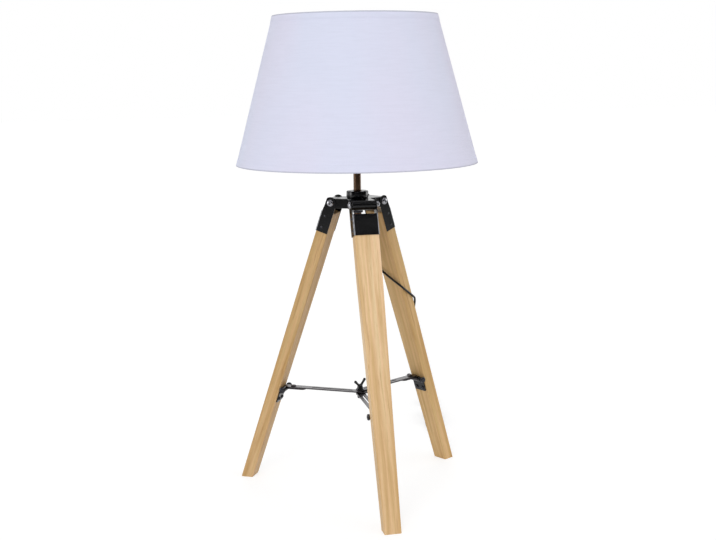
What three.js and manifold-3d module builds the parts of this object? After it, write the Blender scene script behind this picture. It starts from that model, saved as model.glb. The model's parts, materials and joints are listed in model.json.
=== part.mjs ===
// Tripod table lamp: three folding wooden legs under a cast head, a slotted spreader
// with a wing nut, a lampholder with its bulb, a tapered fabric shade and a mains cord.
// Millimetres, +Z up. The floor is z = 0 and the front leg points along -Y.
import * as THREE from 'three';
import { mergeVertices } from 'three/addons/utils/BufferGeometryUtils.js';
import Module from 'manifold-3d';

// Clearances, and how far a cutting tool runs past a face
const seatGap = 0.3;
const turnGap = 0.3;
const overrun = 2;
const weldDistance = 1e-4;

// Shape of every domed head: how wide and how high its shoulder is
const domeShoulderShare = 0.8;
const domeRiseShare = 0.7;

// How finely round forms are drawn
const shadeSides = 64;
const turnedSides = 24;
const smallSides = 16;
const screwSides = 12;
const arcSteps = 6;
const cornerSteps = 2;
const cordSides = 8;
const loopSides = 6;
const wireSides = 5;

// Tripod as a whole: the hinge line of each leg and how far the legs lean out
const hingeRadius = 35.7;
const hingeHeight = 434.3;
const legLeanDegrees = 18.84;
const legs = [
  { name: 'front', azimuthDegrees: -90, boltSide: -1, barLayer: -1 },
  { name: 'right', azimuthDegrees: 30, boltSide: -1, barLayer: 1 },
  { name: 'left', azimuthDegrees: 150, boltSide: 1, barLayer: 0 },
];

// Wooden leg
const legThickness = 17.6;
const legWidth = 35.2;
const legFootWidth = 24;
const legTaperLength = 350;
const legTopDrop = 15;
const legChamfer = 0.8;

// Sheet metal sleeve on the top of a leg
const sleeveWall = 1;
const sleeveBottomDrop = 45.7;
const sleevePlateDrop = 13;
const sleeveShoulderDrop = 7;
const sleeveEarRadius = 8.7;

// Hinge bolt and its cap nut
const hingeBoltRadius = 2.5;
const hingeHeadRadius = 5.3;
const hingeHeadHeight = 3;
const hingeHeadRim = 1;
const hingeNutWidth = 8;
const hingeNutHeight = 3.6;
const hingeNutDome = 1.8;

// Cast head with three arms, and the collar above it
const headTopRise = 6.4;
const headBottomDrop = 7.8;
const headEdgeChamfer = 0.7;
const collarRadius = 16;
const collarHeight = 10.4;
const collarChamfer = 1;

// Hollow lamp rod with its washer and locknut, and the tapered cord bushing
const rodRadius = 5.5;
const rodBoreRadius = 3.6;
const rodBelowNut = 2;
const rodWasherRadius = 11;
const rodWasherThickness = 1.5;
const rodNutWidth = 17;
const rodNutHeight = 5;
const bushingFlangeRadius = 6.5;
const bushingFlangeHeight = 2;
const bushingSpigotHeight = 6;
const bushingNeckRadius = 4.4;
const bushingTipRadius = 2.9;
const bushingLength = 21;

// Bracket on the inner face of each leg, with its hinge pin and screws
const pinAlongLeg = 161;
const pinStandoff = 5.05;
const bracketPlateLength = 23;
const bracketWidth = 23;
const bracketThickness = 1.6;
const bracketCornerRadius = 2;
const knuckleRadius = 4;
const pinRadius = 1.5;
const pinHeadRadius = 4.2;
const pinHeadHeight = 1.8;
const pinHeadChamfer = 0.7;
const screwShankRadius = 1.5;
const screwHeadRadius = 3;
const screwHeadHeight = 1.6;
const screwLength = 12;
const screwSpread = 12;
const screwAboveEdge = 9.5;

// Spreader bars, each with a slot and riveted to a hinged link
const barWidth = 12.6;
const barThickness = 1.8;
const barPastCentre = 8;
const spreaderAbovePin = 3;
const slotWidth = 4;
const slotLength = 77;
const linkThickness = 1.6;
const linkLength = 27;
const rivetFromPin = 13;
const rivetRadius = 2.2;
const rivetHeadRadius = 4.2;
const rivetHeadHeight = 2;

// Spreader bolt, washers and wing nut
const spreaderBoltRadius = 1.6;
const spreaderHeadWidth = 8;
const spreaderHeadHeight = 5;
const spreaderWasherRadius = 6.2;
const spreaderWasherThickness = 1.2;
const spreaderBoltPastNut = 1.5;
const wingHubRadius = 4.8;
const wingHubTopRadius = 3.6;
const wingHubHeight = 5.5;
const wingReach = 9.2;
const wingRise = 6.6;
const wingRootRise = 3;
const wingTipRadius = 2;
const wingThickness = 2;

// Shade: a tapered drum of laminated fabric on two wires
const shadeBelowHolder = 8.5;
const shadeHeight = 210;
const shadeBottomRadius = 175;
const shadeTopRadius = 118;
const shadeWall = 1.2;
const hemHeight = 9;
const hemThickness = 0.4;
const wireRadius = 1.6;
const wireFromEdge = 2.4;

// Fitter: a ring with three arms that carries the bottom wire
const fitterRingRadius = 29;
const fitterRingThickness = 2;
const fitterArmRadius = 2;
const fitterArmRootRadius = 26.5;
const fitterArmsFirstDegrees = 90;

// Lampholder, measured up from its base, and the rod that shows below it
const rodShowing = 48.6;
const holderRadius = 19.5;
const holderNeckRadius = 9;
const holderShoulderRadius = 15.5;
const holderShoulderHeight = 2.8;
const holderDomeHeight = 8;
const holderCapHeight = 17;
const rodInHolder = 8;
const shellWall = 2.7;
const shellHeight = 41;
const shellFlangeRadius = 23.5;
const shellFlangeHeight = 3;
const shellLipChamfer = 1;
const insertHeight = 37;
const insertFloor = 12.5;
const bulbSocketRadius = 13.9;
const contactRadius = 4;
const contactHeight = 1.8;
const shadeRingRadius = 25;
const shadeRingHeight = 5.5;
const shadeRingGrip = 1.2;
const switchBarRadius = 2;
const switchBarHeight = 12.6;
const switchBarStub = 5;
const switchBarChamfer = 0.7;
const switchTravel = 6;

// Bulb
const bulbCapRadius = 13.3;
const bulbCapHeight = 25;
const bulbTipRadius = 4.5;
const bulbTipHeight = 2;
const bulbShoulderHeight = 5;
const bulbRadius = 30;
const bulbLength = 110;
const bulbNeckRadius = 12.8;
const bulbSpringDegrees = -36;
const bulbPullShare = 0.45;
const bulbNeckHeight = 6;

// Mains cord: its hank of folded loops, its tie and its two-pin plug
const cordRadius = 1.6;
const hankCentre = [199.5, 290];
const hankDegrees = 78;
const hankRun = 51.5;
const hankInnerHalfWidth = 8.8;
const hankStepAcross = 3.7;
const hankStepUp = 3.7;
const hankPinch = 3.2;
const hankLayers = 4;
const hankRunsPerLayer = 3;
const tieThickness = 0.8;
const tieWidth = 6;
const tieCornerRadius = 1.5;
const plugLength = 33;
const plugWidth = 27;
const plugThickness = 14;
const plugCornerRadius = 4.7;
const plugEdge = 2.5;
const plugNeckLength = 24;
const plugNeckRadius = 4.5;
const plugNeckTipRadius = 2.6;
const plugFromHank = 32;
const plugPinRadius = 2;
const plugPinLength = 19;
const plugPinSpacing = 18.6;
const plugPinTipShare = 0.5;
const skipDiameters = 3;

// Places worked out from the sizes above
const lean = THREE.MathUtils.degToRad(legLeanDegrees);
const hingeAlongLeg = (hingeHeight + (legThickness / 2) * Math.sin(lean)) / Math.cos(lean);
const footReach = hingeRadius + hingeAlongLeg * Math.sin(lean) + (legThickness / 2) * Math.cos(lean);
const axisOffset = (footReach - shadeBottomRadius) / 2;
const sleeveHalfWidth = legWidth / 2 + seatGap + sleeveWall;
const armHalfWidth = legWidth / 2 + seatGap - turnGap;
const headTop = hingeHeight + headTopRise;
const headBottom = hingeHeight - headBottomDrop;
const rodWasherBottom = headBottom - seatGap - rodWasherThickness;
const rodNutBottom = rodWasherBottom - seatGap - rodNutHeight;
const rodBottom = rodNutBottom - rodBelowNut;
const bushingTop = rodBottom - seatGap;
const cordExitHeight = bushingTop - bushingLength;
const pinOff = -(legThickness + pinStandoff);
const pinRadial = footReach - pinAlongLeg * Math.sin(lean) + pinOff * Math.cos(lean);
const pinHeight = pinAlongLeg * Math.cos(lean) + pinOff * Math.sin(lean);
const barStep = barThickness + seatGap;
const rivetRadial = pinRadial - rivetFromPin;
const spreaderHeight = pinHeight + spreaderAbovePin;
const holderBaseHeight = headTop + seatGap + collarHeight + rodShowing;
const shadeBottomHeight = holderBaseHeight - shadeBelowHolder;
const fitterHeight = holderBaseHeight + holderCapHeight + seatGap + shellFlangeHeight + seatGap;

const wasm = await Module();
wasm.setup();

// Closed surfaces and boolean work

function closedSurface(geometry) {
  const bare = new THREE.BufferGeometry();
  bare.setAttribute('position', geometry.getAttribute('position').clone());
  if (geometry.index) bare.setIndex(geometry.index.clone());
  const merged = mergeVertices(bare, weldDistance);
  const corners = merged.index.array;
  const kept = [];
  for (let i = 0; i < corners.length; i += 3) {
    const [a, b, c] = [corners[i], corners[i + 1], corners[i + 2]];
    if (a !== b && b !== c && c !== a) kept.push(a, b, c);
  }
  merged.setIndex(kept);
  return merged;
}

function solidOf(geometry) {
  const surface = closedSurface(geometry);
  const vertProperties = new Float32Array(surface.getAttribute('position').array);
  const triVerts = new Uint32Array(surface.index.array);
  return new wasm.Manifold(new wasm.Mesh({ numProp: 3, vertProperties, triVerts }));
}

function geometryOf(solid) {
  const mesh = solid.getMesh();
  const geometry = new THREE.BufferGeometry();
  geometry.setAttribute('position', new THREE.BufferAttribute(new Float32Array(mesh.vertProperties), 3));
  geometry.setIndex(Array.from(mesh.triVerts));
  return geometry;
}

function joined(...geometries) {
  const solids = geometries.map(solidOf);
  return geometryOf(solids.reduce((sum, solid) => sum.add(solid)));
}

function cutBy(geometry, ...tools) {
  const rest = tools.reduce((left, tool) => left.subtract(solidOf(tool)), solidOf(geometry));
  return geometryOf(rest);
}

function common(first, second) {
  return geometryOf(solidOf(first).intersect(solidOf(second)));
}

// Basic forms

// Turns an outline of [radius, height] points about the Z axis. The points run
// anticlockwise round the material, with the radius to the right.
function revolve(outline, segments) {
  const points = outline.map(([radius, height]) => new THREE.Vector2(radius, height));
  return closedSurface(new THREE.LatheGeometry(points, segments).rotateX(Math.PI / 2));
}

function revolveRing(outline, segments) {
  return revolve([...outline, outline[0]], segments);
}

// A cylinder along Z from one height to another
function post(radius, from, to, segments) {
  const geometry = new THREE.CylinderGeometry(radius, radius, to - from, segments);
  return geometry.rotateX(Math.PI / 2).translate(0, 0, (from + to) / 2);
}

function postAcross(radius, from, to, segments) {
  return post(radius, from, to, segments).rotateX(-Math.PI / 2);
}

function block(from, to) {
  const size = to.map((value, axis) => value - from[axis]);
  const middle = to.map((value, axis) => (value + from[axis]) / 2);
  return new THREE.BoxGeometry(...size).translate(...middle);
}

// An outline in X and Y raised from one height to another
function raise(shape, from, to, options = {}) {
  const settings = { depth: to - from, bevelEnabled: false, curveSegments: arcSteps, ...options };
  return new THREE.ExtrudeGeometry(shape, settings).translate(0, 0, from);
}

// An outline drawn in X and Z, as thick as wanted along Y and centred there
function slabAcross(shape, width, options = {}) {
  const settings = { depth: width, bevelEnabled: false, curveSegments: arcSteps, ...options };
  return new THREE.ExtrudeGeometry(shape, settings).rotateX(Math.PI / 2).translate(0, width / 2, 0);
}

// An outline drawn in Y and Z, raised along X from one place to another
function slabForward(shape, from, to, options = {}) {
  const settings = { depth: to - from, bevelEnabled: false, curveSegments: arcSteps, ...options };
  const turn = new THREE.Matrix4().makeBasis(
    new THREE.Vector3(0, 1, 0),
    new THREE.Vector3(0, 0, 1),
    new THREE.Vector3(1, 0, 0),
  );
  return new THREE.ExtrudeGeometry(shape, settings).applyMatrix4(turn).translate(from, 0, 0);
}

// The outline of a domed head, from its rim to its middle
function dome(radius, base, height) {
  return [
    [radius, base],
    [radius * domeShoulderShare, base + height * domeRiseShare],
    [0, base + height],
  ];
}

function shapeOf(points) {
  return new THREE.Shape(points.map(([x, y]) => new THREE.Vector2(x, y)));
}

// A flat bar outline with round ends, from one X to another
function roundEnded(from, to, halfWidth, Kind = THREE.Shape) {
  const outline = new Kind();
  outline.absarc(to - halfWidth, 0, halfWidth, -Math.PI / 2, Math.PI / 2, false);
  outline.absarc(from + halfWidth, 0, halfWidth, Math.PI / 2, Math.PI * 1.5, false);
  outline.closePath();
  return outline;
}

function circleHole(x, y, radius) {
  const hole = new THREE.Path();
  hole.absarc(x, y, radius, 0, Math.PI * 2, true);
  return hole;
}

function roundedBox(halfWidth, halfHeight, radius, Kind = THREE.Shape) {
  const outline = new Kind();
  const x = halfWidth - radius;
  const y = halfHeight - radius;
  outline.absarc(x, -y, radius, -Math.PI / 2, 0, false);
  outline.absarc(x, y, radius, 0, Math.PI / 2, false);
  outline.absarc(-x, y, radius, Math.PI / 2, Math.PI, false);
  outline.absarc(-x, -y, radius, Math.PI, Math.PI * 1.5, false);
  outline.closePath();
  return outline;
}

// A six-sided prism along Z, measured across its flats
function hexagon(acrossFlats, from, to) {
  return post(acrossFlats / Math.sqrt(3), from, to, 6);
}

// Materials

function finish(color, roughness, metalness) {
  return { color, roughness, metalness };
}

const finishes = {
  wood: finish(0xdcbe91, 0.55, 0),
  blackMetal: finish(0x17171a, 0.32, 0.6),
  darkRod: finish(0x33281f, 0.35, 0.8),
  darkSteel: finish(0x3a383a, 0.38, 0.8),
  fabric: finish(0xdcdcec, 0.9, 0),
  wire: finish(0xd8d8dc, 0.4, 0.7),
  blackPlastic: finish(0x121213, 0.45, 0),
  whitePlastic: finish(0xe9e7e2, 0.5, 0),
  brass: finish(0xb8924a, 0.3, 1),
  nickel: finish(0xb9b9b6, 0.3, 1),
  frostedGlass: finish(0xf4f2ea, 0.25, 0),
  cord: finish(0x141415, 0.6, 0),
};

const lamp = new THREE.Group();
lamp.position.set(0, axisOffset, 0);

function add(parent, name, geometry, look) {
  const surface = closedSurface(geometry).toNonIndexed();
  surface.computeVertexNormals();
  const mesh = new THREE.Mesh(surface, new THREE.MeshStandardMaterial(look));
  mesh.name = name;
  parent.add(mesh);
  return mesh;
}

// Wooden leg, in the leg's own frame: X out of its outer face, Z along it from the foot

function screwPlaces() {
  const along = pinAlongLeg - knuckleRadius - bracketPlateLength + screwAboveEdge;
  return [-1, 1].map((side) => ({ side, along, across: (side * screwSpread) / 2 }));
}

function woodenLeg() {
  const top = hingeAlongLeg - legTopDrop;
  const foot = legFootWidth / 2 - ((legWidth - legFootWidth) / 2) * (overrun / legTaperLength);
  const face = shapeOf([
    [-foot, -overrun],
    [foot, -overrun],
    [legWidth / 2, Math.min(legTaperLength, top)],
    [legWidth / 2, top],
    [-legWidth / 2, top],
    [-legWidth / 2, Math.min(legTaperLength, top)],
  ]);
  const bevel = {
    bevelEnabled: true,
    bevelSegments: 1,
    bevelSize: legChamfer,
    bevelThickness: legChamfer,
    bevelOffset: -legChamfer,
  };
  const front = slabForward(face, -legThickness + legChamfer, -legChamfer, bevel);
  const sole = legThickness * Math.tan(lean);
  const side = shapeOf([
    [0, 0],
    [overrun, -overrun * Math.tan(lean)],
    [overrun, top + overrun],
    [-legThickness - overrun, top + overrun],
    [-legThickness - overrun, sole + overrun * Math.tan(lean)],
  ]);
  const sawn = common(front, slabAcross(side, legWidth + overrun));
  const pilots = screwPlaces().map(({ along, across }) => {
    const deepest = -legThickness + screwLength - bracketThickness;
    const pilot = postForward(screwShankRadius + seatGap, -legThickness - overrun, deepest, screwSides);
    return pilot.translate(0, across, along);
  });
  return cutBy(sawn, ...pilots);
}

// A cylinder along X from one place to another
function postForward(radius, from, to, segments) {
  return post(radius, from, to, segments).rotateY(Math.PI / 2);
}

// Sleeve: an outer plate and two side plates that rise into the hinge ears

function sleeve() {
  const outer = seatGap + sleeveWall;
  const inner = -legThickness - seatGap;
  const middle = -legThickness / 2;
  const bottom = hingeAlongLeg - sleeveBottomDrop;
  const outline = new THREE.Shape();
  outline.moveTo(inner, bottom);
  outline.lineTo(outer, bottom);
  outline.lineTo(outer, hingeAlongLeg - sleevePlateDrop);
  outline.lineTo(seatGap, hingeAlongLeg - sleevePlateDrop);
  outline.lineTo(middle + sleeveEarRadius, hingeAlongLeg - sleeveShoulderDrop);
  outline.absarc(middle, hingeAlongLeg, sleeveEarRadius, 0, Math.PI, false);
  outline.lineTo(inner, hingeAlongLeg - sleeveShoulderDrop);
  outline.closePath();
  const body = slabAcross(outline, 2 * sleeveHalfWidth);
  const innerHalf = sleeveHalfWidth - sleeveWall;
  const channel = block(
    [inner - overrun, -innerHalf, bottom - overrun],
    [seatGap, innerHalf, hingeAlongLeg + sleeveEarRadius + overrun],
  );
  const reach = sleeveHalfWidth + overrun;
  const bore = postAcross(hingeBoltRadius + turnGap, -reach, reach, smallSides);
  return cutBy(body, channel, bore.translate(middle, 0, hingeAlongLeg));
}

// Hinge bolt and cap nut, along Y through the ears and the head's arm

function hingeBolt(side) {
  const face = sleeveHalfWidth + seatGap;
  const end = face + hingeNutHeight - hingeNutDome;
  const outline = [
    [0, -end],
    [hingeBoltRadius, -end],
    [hingeBoltRadius, face],
    [hingeHeadRadius, face],
    ...dome(hingeHeadRadius, face + hingeHeadRim, hingeHeadHeight - hingeHeadRim),
  ];
  return revolve(outline, smallSides).rotateX((-side * Math.PI) / 2);
}

function hingeNut(side) {
  const face = sleeveHalfWidth + seatGap;
  const body = hexagon(hingeNutWidth, face, face + hingeNutHeight);
  const cap = revolve([
    [0, face],
    [hingeNutWidth / 2, face],
    ...dome(hingeNutWidth / 2, face + hingeNutHeight, hingeNutDome),
  ], smallSides);
  const boreEnd = face + hingeNutHeight - hingeNutDome + seatGap;
  const bore = post(hingeBoltRadius + turnGap, face - overrun, boreEnd, smallSides);
  return cutBy(joined(body, cap), bore).rotateX((side * Math.PI) / 2);
}

// Cast head: three arms with round ends, joined in the middle

function headArm() {
  const outline = new THREE.Shape();
  const topAngle = Math.asin(headTopRise / headBottomDrop);
  outline.moveTo(0, headBottom);
  outline.lineTo(hingeRadius, headBottom);
  outline.absarc(hingeRadius, hingeHeight, headBottomDrop, -Math.PI / 2, topAngle, false);
  outline.lineTo(0, headTop);
  outline.closePath();
  const bevel = {
    bevelEnabled: true,
    bevelSegments: 1,
    bevelSize: headEdgeChamfer,
    bevelThickness: headEdgeChamfer,
    bevelOffset: -headEdgeChamfer,
    depth: 2 * (armHalfWidth - headEdgeChamfer),
  };
  const arm = slabAcross(outline, 2 * armHalfWidth, bevel).translate(0, -headEdgeChamfer, 0);
  const reach = armHalfWidth + overrun;
  const bore = postAcross(hingeBoltRadius + turnGap, -reach, reach, smallSides);
  return cutBy(arm, bore.translate(hingeRadius, 0, hingeHeight));
}

function tripodHead() {
  const arms = legs.map(({ azimuthDegrees }) => headArm().rotateZ(THREE.MathUtils.degToRad(azimuthDegrees)));
  const middle = post(armHalfWidth, headBottom, headTop, turnedSides);
  const bore = post(rodRadius + seatGap, headBottom - overrun, headTop + overrun, smallSides);
  return cutBy(joined(middle, ...arms), bore);
}

function headCollar() {
  const bottom = headTop + seatGap;
  const top = bottom + collarHeight;
  return revolveRing([
    [rodRadius + seatGap, bottom],
    [collarRadius, bottom],
    [collarRadius, top - collarChamfer],
    [collarRadius - collarChamfer, top],
    [rodRadius + seatGap, top],
  ], turnedSides);
}

// Lamp rod and what holds it under the head

function tube(outer, inner, bottom, top, segments) {
  return revolveRing([
    [inner, bottom],
    [outer, bottom],
    [outer, top],
    [inner, top],
  ], segments);
}

function lampRod() {
  return tube(rodRadius, rodBoreRadius, rodBottom, holderBaseHeight + rodInHolder, smallSides);
}

function rodWasher() {
  const top = rodWasherBottom + rodWasherThickness;
  return tube(rodWasherRadius, rodRadius + seatGap, rodWasherBottom, top, smallSides);
}

function rodLocknut() {
  const top = rodNutBottom + rodNutHeight;
  const bore = post(rodRadius + seatGap, rodNutBottom - overrun, top + overrun, smallSides);
  return cutBy(hexagon(rodNutWidth, rodNutBottom, top), bore);
}

function cordBushing() {
  const hole = cordRadius + seatGap;
  const flangeBottom = bushingTop - bushingFlangeHeight;
  return revolveRing([
    [hole, cordExitHeight],
    [bushingTipRadius, cordExitHeight],
    [bushingNeckRadius, flangeBottom],
    [bushingFlangeRadius, flangeBottom],
    [bushingFlangeRadius, bushingTop],
    [rodBoreRadius - seatGap, bushingTop],
    [rodBoreRadius - seatGap, bushingTop + bushingSpigotHeight],
    [hole, bushingTop + bushingSpigotHeight],
  ], smallSides);
}

// Bracket with two knuckles, in the leg's own frame

function bracket() {
  const face = -legThickness - seatGap;
  const top = pinAlongLeg - knuckleRadius - seatGap;
  const bottom = top - bracketPlateLength;
  const plateShape = roundedBox(bracketWidth / 2, bracketPlateLength / 2, bracketCornerRadius);
  const plate = slabForward(plateShape, face - bracketThickness, face, { curveSegments: cornerSteps });
  plate.translate(0, 0, (top + bottom) / 2);
  const screwHoles = screwPlaces().map(({ along, across }) => {
    const hole = postForward(screwShankRadius + seatGap, face - overrun, face + overrun, screwSides);
    return hole.translate(0, across, along);
  });
  const lobe = new THREE.Shape();
  lobe.moveTo(face, top - knuckleRadius);
  lobe.lineTo(face, pinAlongLeg);
  lobe.lineTo(pinOff, pinAlongLeg + knuckleRadius);
  lobe.absarc(pinOff, pinAlongLeg, knuckleRadius, Math.PI / 2, Math.PI * 1.25, false);
  lobe.lineTo(face - bracketThickness, top - knuckleRadius);
  lobe.closePath();
  const lobeWidth = (bracketWidth - barWidth) / 2 - turnGap;
  const lobes = [-1, 1].map((side) => {
    const middle = side * (barWidth / 2 + turnGap + lobeWidth / 2);
    return slabAcross(lobe, lobeWidth).translate(0, middle, 0);
  });
  const bore = postAcross(pinRadius + turnGap, -bracketWidth, bracketWidth, screwSides);
  bore.translate(pinOff, 0, pinAlongLeg);
  return cutBy(joined(plate, ...lobes), bore, ...screwHoles);
}

function bracketPin() {
  const inner = bracketWidth / 2 + turnGap;
  const outer = inner + pinHeadHeight;
  return revolve([
    [0, -outer],
    [pinHeadRadius - pinHeadChamfer, -outer],
    [pinHeadRadius, -outer + pinHeadChamfer],
    [pinHeadRadius, -inner],
    [pinRadius, -inner],
    [pinRadius, inner],
    [pinHeadRadius, inner],
    [pinHeadRadius, outer - pinHeadChamfer],
    [pinHeadRadius - pinHeadChamfer, outer],
    [0, outer],
  ], smallSides).rotateX(Math.PI / 2).translate(pinOff, 0, pinAlongLeg);
}

// Round-headed wood screw along -X, its head on the bracket plate
function bracketScrew({ along, across }) {
  const face = -legThickness - seatGap - bracketThickness - seatGap;
  const tip = face + screwLength;
  return revolve([
    [0, -tip],
    [screwShankRadius, -tip + screwShankRadius],
    [screwShankRadius, -face],
    ...dome(screwHeadRadius, -face, screwHeadHeight),
  ], screwSides).rotateY(-Math.PI / 2).translate(0, across, along);
}

// Link and bar of the spreader, in the upright frame of a leg: X out from the lamp's axis

function barHeight(layer) {
  return spreaderHeight + layer * barStep;
}

function strutLink(layer) {
  const barBottom = barHeight(layer) - barThickness / 2;
  const barTop = barBottom + barThickness;
  const plateTop = barBottom - seatGap;
  const plate = raise(
    roundEnded(pinRadial - linkLength, pinRadial, barWidth / 2),
    plateTop - linkThickness,
    plateTop,
  );
  const square = block(
    [pinRadial - linkLength / 2, -barWidth / 2, plateTop - linkThickness],
    [pinRadial, barWidth / 2, plateTop],
  );
  const barrel = postAcross(knuckleRadius, -barWidth / 2, barWidth / 2, smallSides);
  barrel.translate(pinRadial, 0, pinHeight);
  const rivet = revolve([
    [0, plateTop - linkThickness / 2],
    [rivetRadius, plateTop - linkThickness / 2],
    [rivetRadius, barTop + seatGap],
    ...dome(rivetHeadRadius, barTop + seatGap, rivetHeadHeight),
  ], smallSides).translate(rivetRadial, 0, 0);
  const bore = postAcross(pinRadius + turnGap, -barWidth, barWidth, screwSides);
  return cutBy(joined(plate, square, barrel, rivet), bore.translate(pinRadial, 0, pinHeight));
}

function strutBar(layer) {
  const bottom = barHeight(layer) - barThickness / 2;
  const outline = roundEnded(-barPastCentre, rivetRadial + barWidth / 2, barWidth / 2);
  outline.holes.push(circleHole(rivetRadial, 0, rivetRadius + seatGap));
  const slotStart = -slotWidth / 2 - seatGap;
  outline.holes.push(roundEnded(slotStart, slotStart + slotLength, slotWidth / 2, THREE.Path));
  return raise(outline, bottom, bottom + barThickness);
}

// Bolt, washers and wing nut at the middle of the spreader

const stackTop = barHeight(1) + barThickness / 2;
const stackBottom = barHeight(-1) - barThickness / 2;
const lowWasherBottom = stackBottom - seatGap - spreaderWasherThickness;
const topWasherTop = stackTop + seatGap + spreaderWasherThickness;
const wingNutBottom = topWasherTop + seatGap;

function spreaderBolt() {
  const headTopHeight = lowWasherBottom - seatGap;
  const head = hexagon(spreaderHeadWidth, headTopHeight - spreaderHeadHeight, headTopHeight);
  const shankBottom = headTopHeight - spreaderHeadHeight / 2;
  const shankTop = wingNutBottom + wingHubHeight + spreaderBoltPastNut;
  return joined(head, post(spreaderBoltRadius, shankBottom, shankTop, screwSides));
}

function spreaderWasher(bottom) {
  const hole = spreaderBoltRadius + seatGap;
  return tube(spreaderWasherRadius, hole, bottom, bottom + spreaderWasherThickness, smallSides);
}

function wingNut() {
  const hub = revolve([
    [0, 0],
    [wingHubRadius, 0],
    [wingHubTopRadius, wingHubHeight],
    [0, wingHubHeight],
  ], smallSides);
  const wings = [-1, 1].map((side) => {
    const length = Math.hypot(wingReach, wingRise) + 2 * wingTipRadius;
    const outline = roundEnded(-wingTipRadius, length - wingTipRadius, wingTipRadius);
    const wing = slabAcross(outline, wingThickness);
    wing.rotateY(-Math.atan2(wingRise, wingReach)).translate(0, 0, wingRootRise);
    return side > 0 ? wing : wing.rotateZ(Math.PI);
  });
  const bore = post(spreaderBoltRadius + turnGap, -overrun, wingHubHeight + wingRise + overrun, screwSides);
  return cutBy(joined(hub, ...wings), bore).translate(0, 0, wingNutBottom);
}

// Shade cover, its wires and the fitter

const shadeSlope = (shadeTopRadius - shadeBottomRadius) / shadeHeight;

function shadeRadiusAt(rise) {
  return shadeBottomRadius + shadeSlope * rise;
}

function shadeInnerAt(rise) {
  return shadeRadiusAt(rise) - hemThickness - shadeWall;
}

function shadeCover() {
  const top = shadeHeight;
  const outline = [
    [shadeInnerAt(0), 0],
    [shadeRadiusAt(0), 0],
    [shadeRadiusAt(hemHeight), hemHeight],
    [shadeRadiusAt(hemHeight) - hemThickness, hemHeight],
    [shadeRadiusAt(top - hemHeight) - hemThickness, top - hemHeight],
    [shadeRadiusAt(top - hemHeight), top - hemHeight],
    [shadeRadiusAt(top), top],
    [shadeInnerAt(top), top],
  ];
  return revolveRing(outline, shadeSides).translate(0, 0, shadeBottomHeight);
}

function wireRingRadius(rise) {
  return shadeInnerAt(rise) - (wireRadius + seatGap) / Math.cos(Math.atan(shadeSlope));
}

function wireRing(rise) {
  const ring = new THREE.TorusGeometry(wireRingRadius(rise), wireRadius, wireSides, shadeSides);
  return closedSurface(ring).translate(0, 0, shadeBottomHeight + rise);
}

function shadeFitter() {
  const bottom = fitterHeight;
  const top = bottom + fitterRingThickness;
  const ring = tube(fitterRingRadius, holderRadius + seatGap, bottom, top, turnedSides);
  const ringMiddle = (bottom + top) / 2;
  const wireHeight = shadeBottomHeight + wireFromEdge;
  const armEnd = wireRingRadius(wireFromEdge) - wireRadius - seatGap;
  const arms = legs.map((leg, index) => {
    const run = armEnd - fitterArmRootRadius;
    const drop = wireHeight - ringMiddle;
    const arm = postForward(fitterArmRadius, 0, Math.hypot(run, drop), loopSides);
    arm.rotateY(-Math.atan2(drop, run)).translate(fitterArmRootRadius, 0, ringMiddle);
    const turn = fitterArmsFirstDegrees + (index * 360) / legs.length;
    return arm.rotateZ(THREE.MathUtils.degToRad(turn));
  });
  return joined(ring, ...arms);
}

// Lampholder pieces

function holderCap() {
  const base = holderBaseHeight;
  const bore = rodRadius + seatGap;
  const cap = revolve([
    [0, base + rodInHolder + seatGap],
    [bore, base + rodInHolder + seatGap],
    [bore, base],
    [holderNeckRadius, base],
    [holderShoulderRadius, base + holderShoulderHeight],
    [holderRadius, base + holderDomeHeight],
    [holderRadius, base + holderCapHeight],
    [0, base + holderCapHeight],
  ], turnedSides);
  const reach = holderRadius + overrun;
  const tool = postForward(switchBarRadius + turnGap, -reach, reach, screwSides);
  return cutBy(cap, tool.translate(0, 0, base + switchBarHeight));
}

function switchBar() {
  const half = holderRadius + switchTravel / 2 + switchBarStub / 2;
  const outline = [
    [0, -half],
    [switchBarRadius - switchBarChamfer, -half],
    [switchBarRadius, -half + switchBarChamfer],
    [switchBarRadius, half - switchBarChamfer],
    [switchBarRadius - switchBarChamfer, half],
    [0, half],
  ];
  const bar = revolve(outline, screwSides).rotateY(Math.PI / 2);
  return bar.translate(-switchTravel / 2, 0, holderBaseHeight + switchBarHeight);
}

function holderShell() {
  const bottom = holderBaseHeight + holderCapHeight + seatGap;
  const top = bottom + shellHeight;
  const inner = holderRadius - shellWall;
  return revolveRing([
    [inner, bottom],
    [shellFlangeRadius, bottom],
    [shellFlangeRadius, bottom + shellFlangeHeight],
    [holderRadius, bottom + shellFlangeHeight],
    [holderRadius, top - shellLipChamfer],
    [holderRadius - shellLipChamfer, top],
    [inner, top],
  ], turnedSides);
}

function holderInsert() {
  const bottom = holderBaseHeight + holderCapHeight + seatGap;
  const outer = holderRadius - shellWall - seatGap;
  return revolve([
    [0, bottom],
    [outer, bottom],
    [outer, bottom + insertHeight],
    [bulbSocketRadius, bottom + insertHeight],
    [bulbSocketRadius, bottom + insertFloor],
    [0, bottom + insertFloor],
  ], turnedSides);
}

const socketFloor = holderBaseHeight + holderCapHeight + seatGap + insertFloor;
const bulbBottom = socketFloor + seatGap + contactHeight + seatGap;

function centreContact() {
  const bottom = socketFloor + seatGap;
  return revolve([
    [0, bottom],
    ...dome(contactRadius, bottom, contactHeight),
  ], smallSides);
}

function bulbCap() {
  return revolve([
    [0, bulbBottom],
    [bulbTipRadius, bulbBottom],
    [bulbTipRadius, bulbBottom + bulbTipHeight],
    [bulbCapRadius, bulbBottom + bulbShoulderHeight],
    [bulbCapRadius, bulbBottom + bulbCapHeight],
    [0, bulbBottom + bulbCapHeight],
  ], turnedSides);
}

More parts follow.
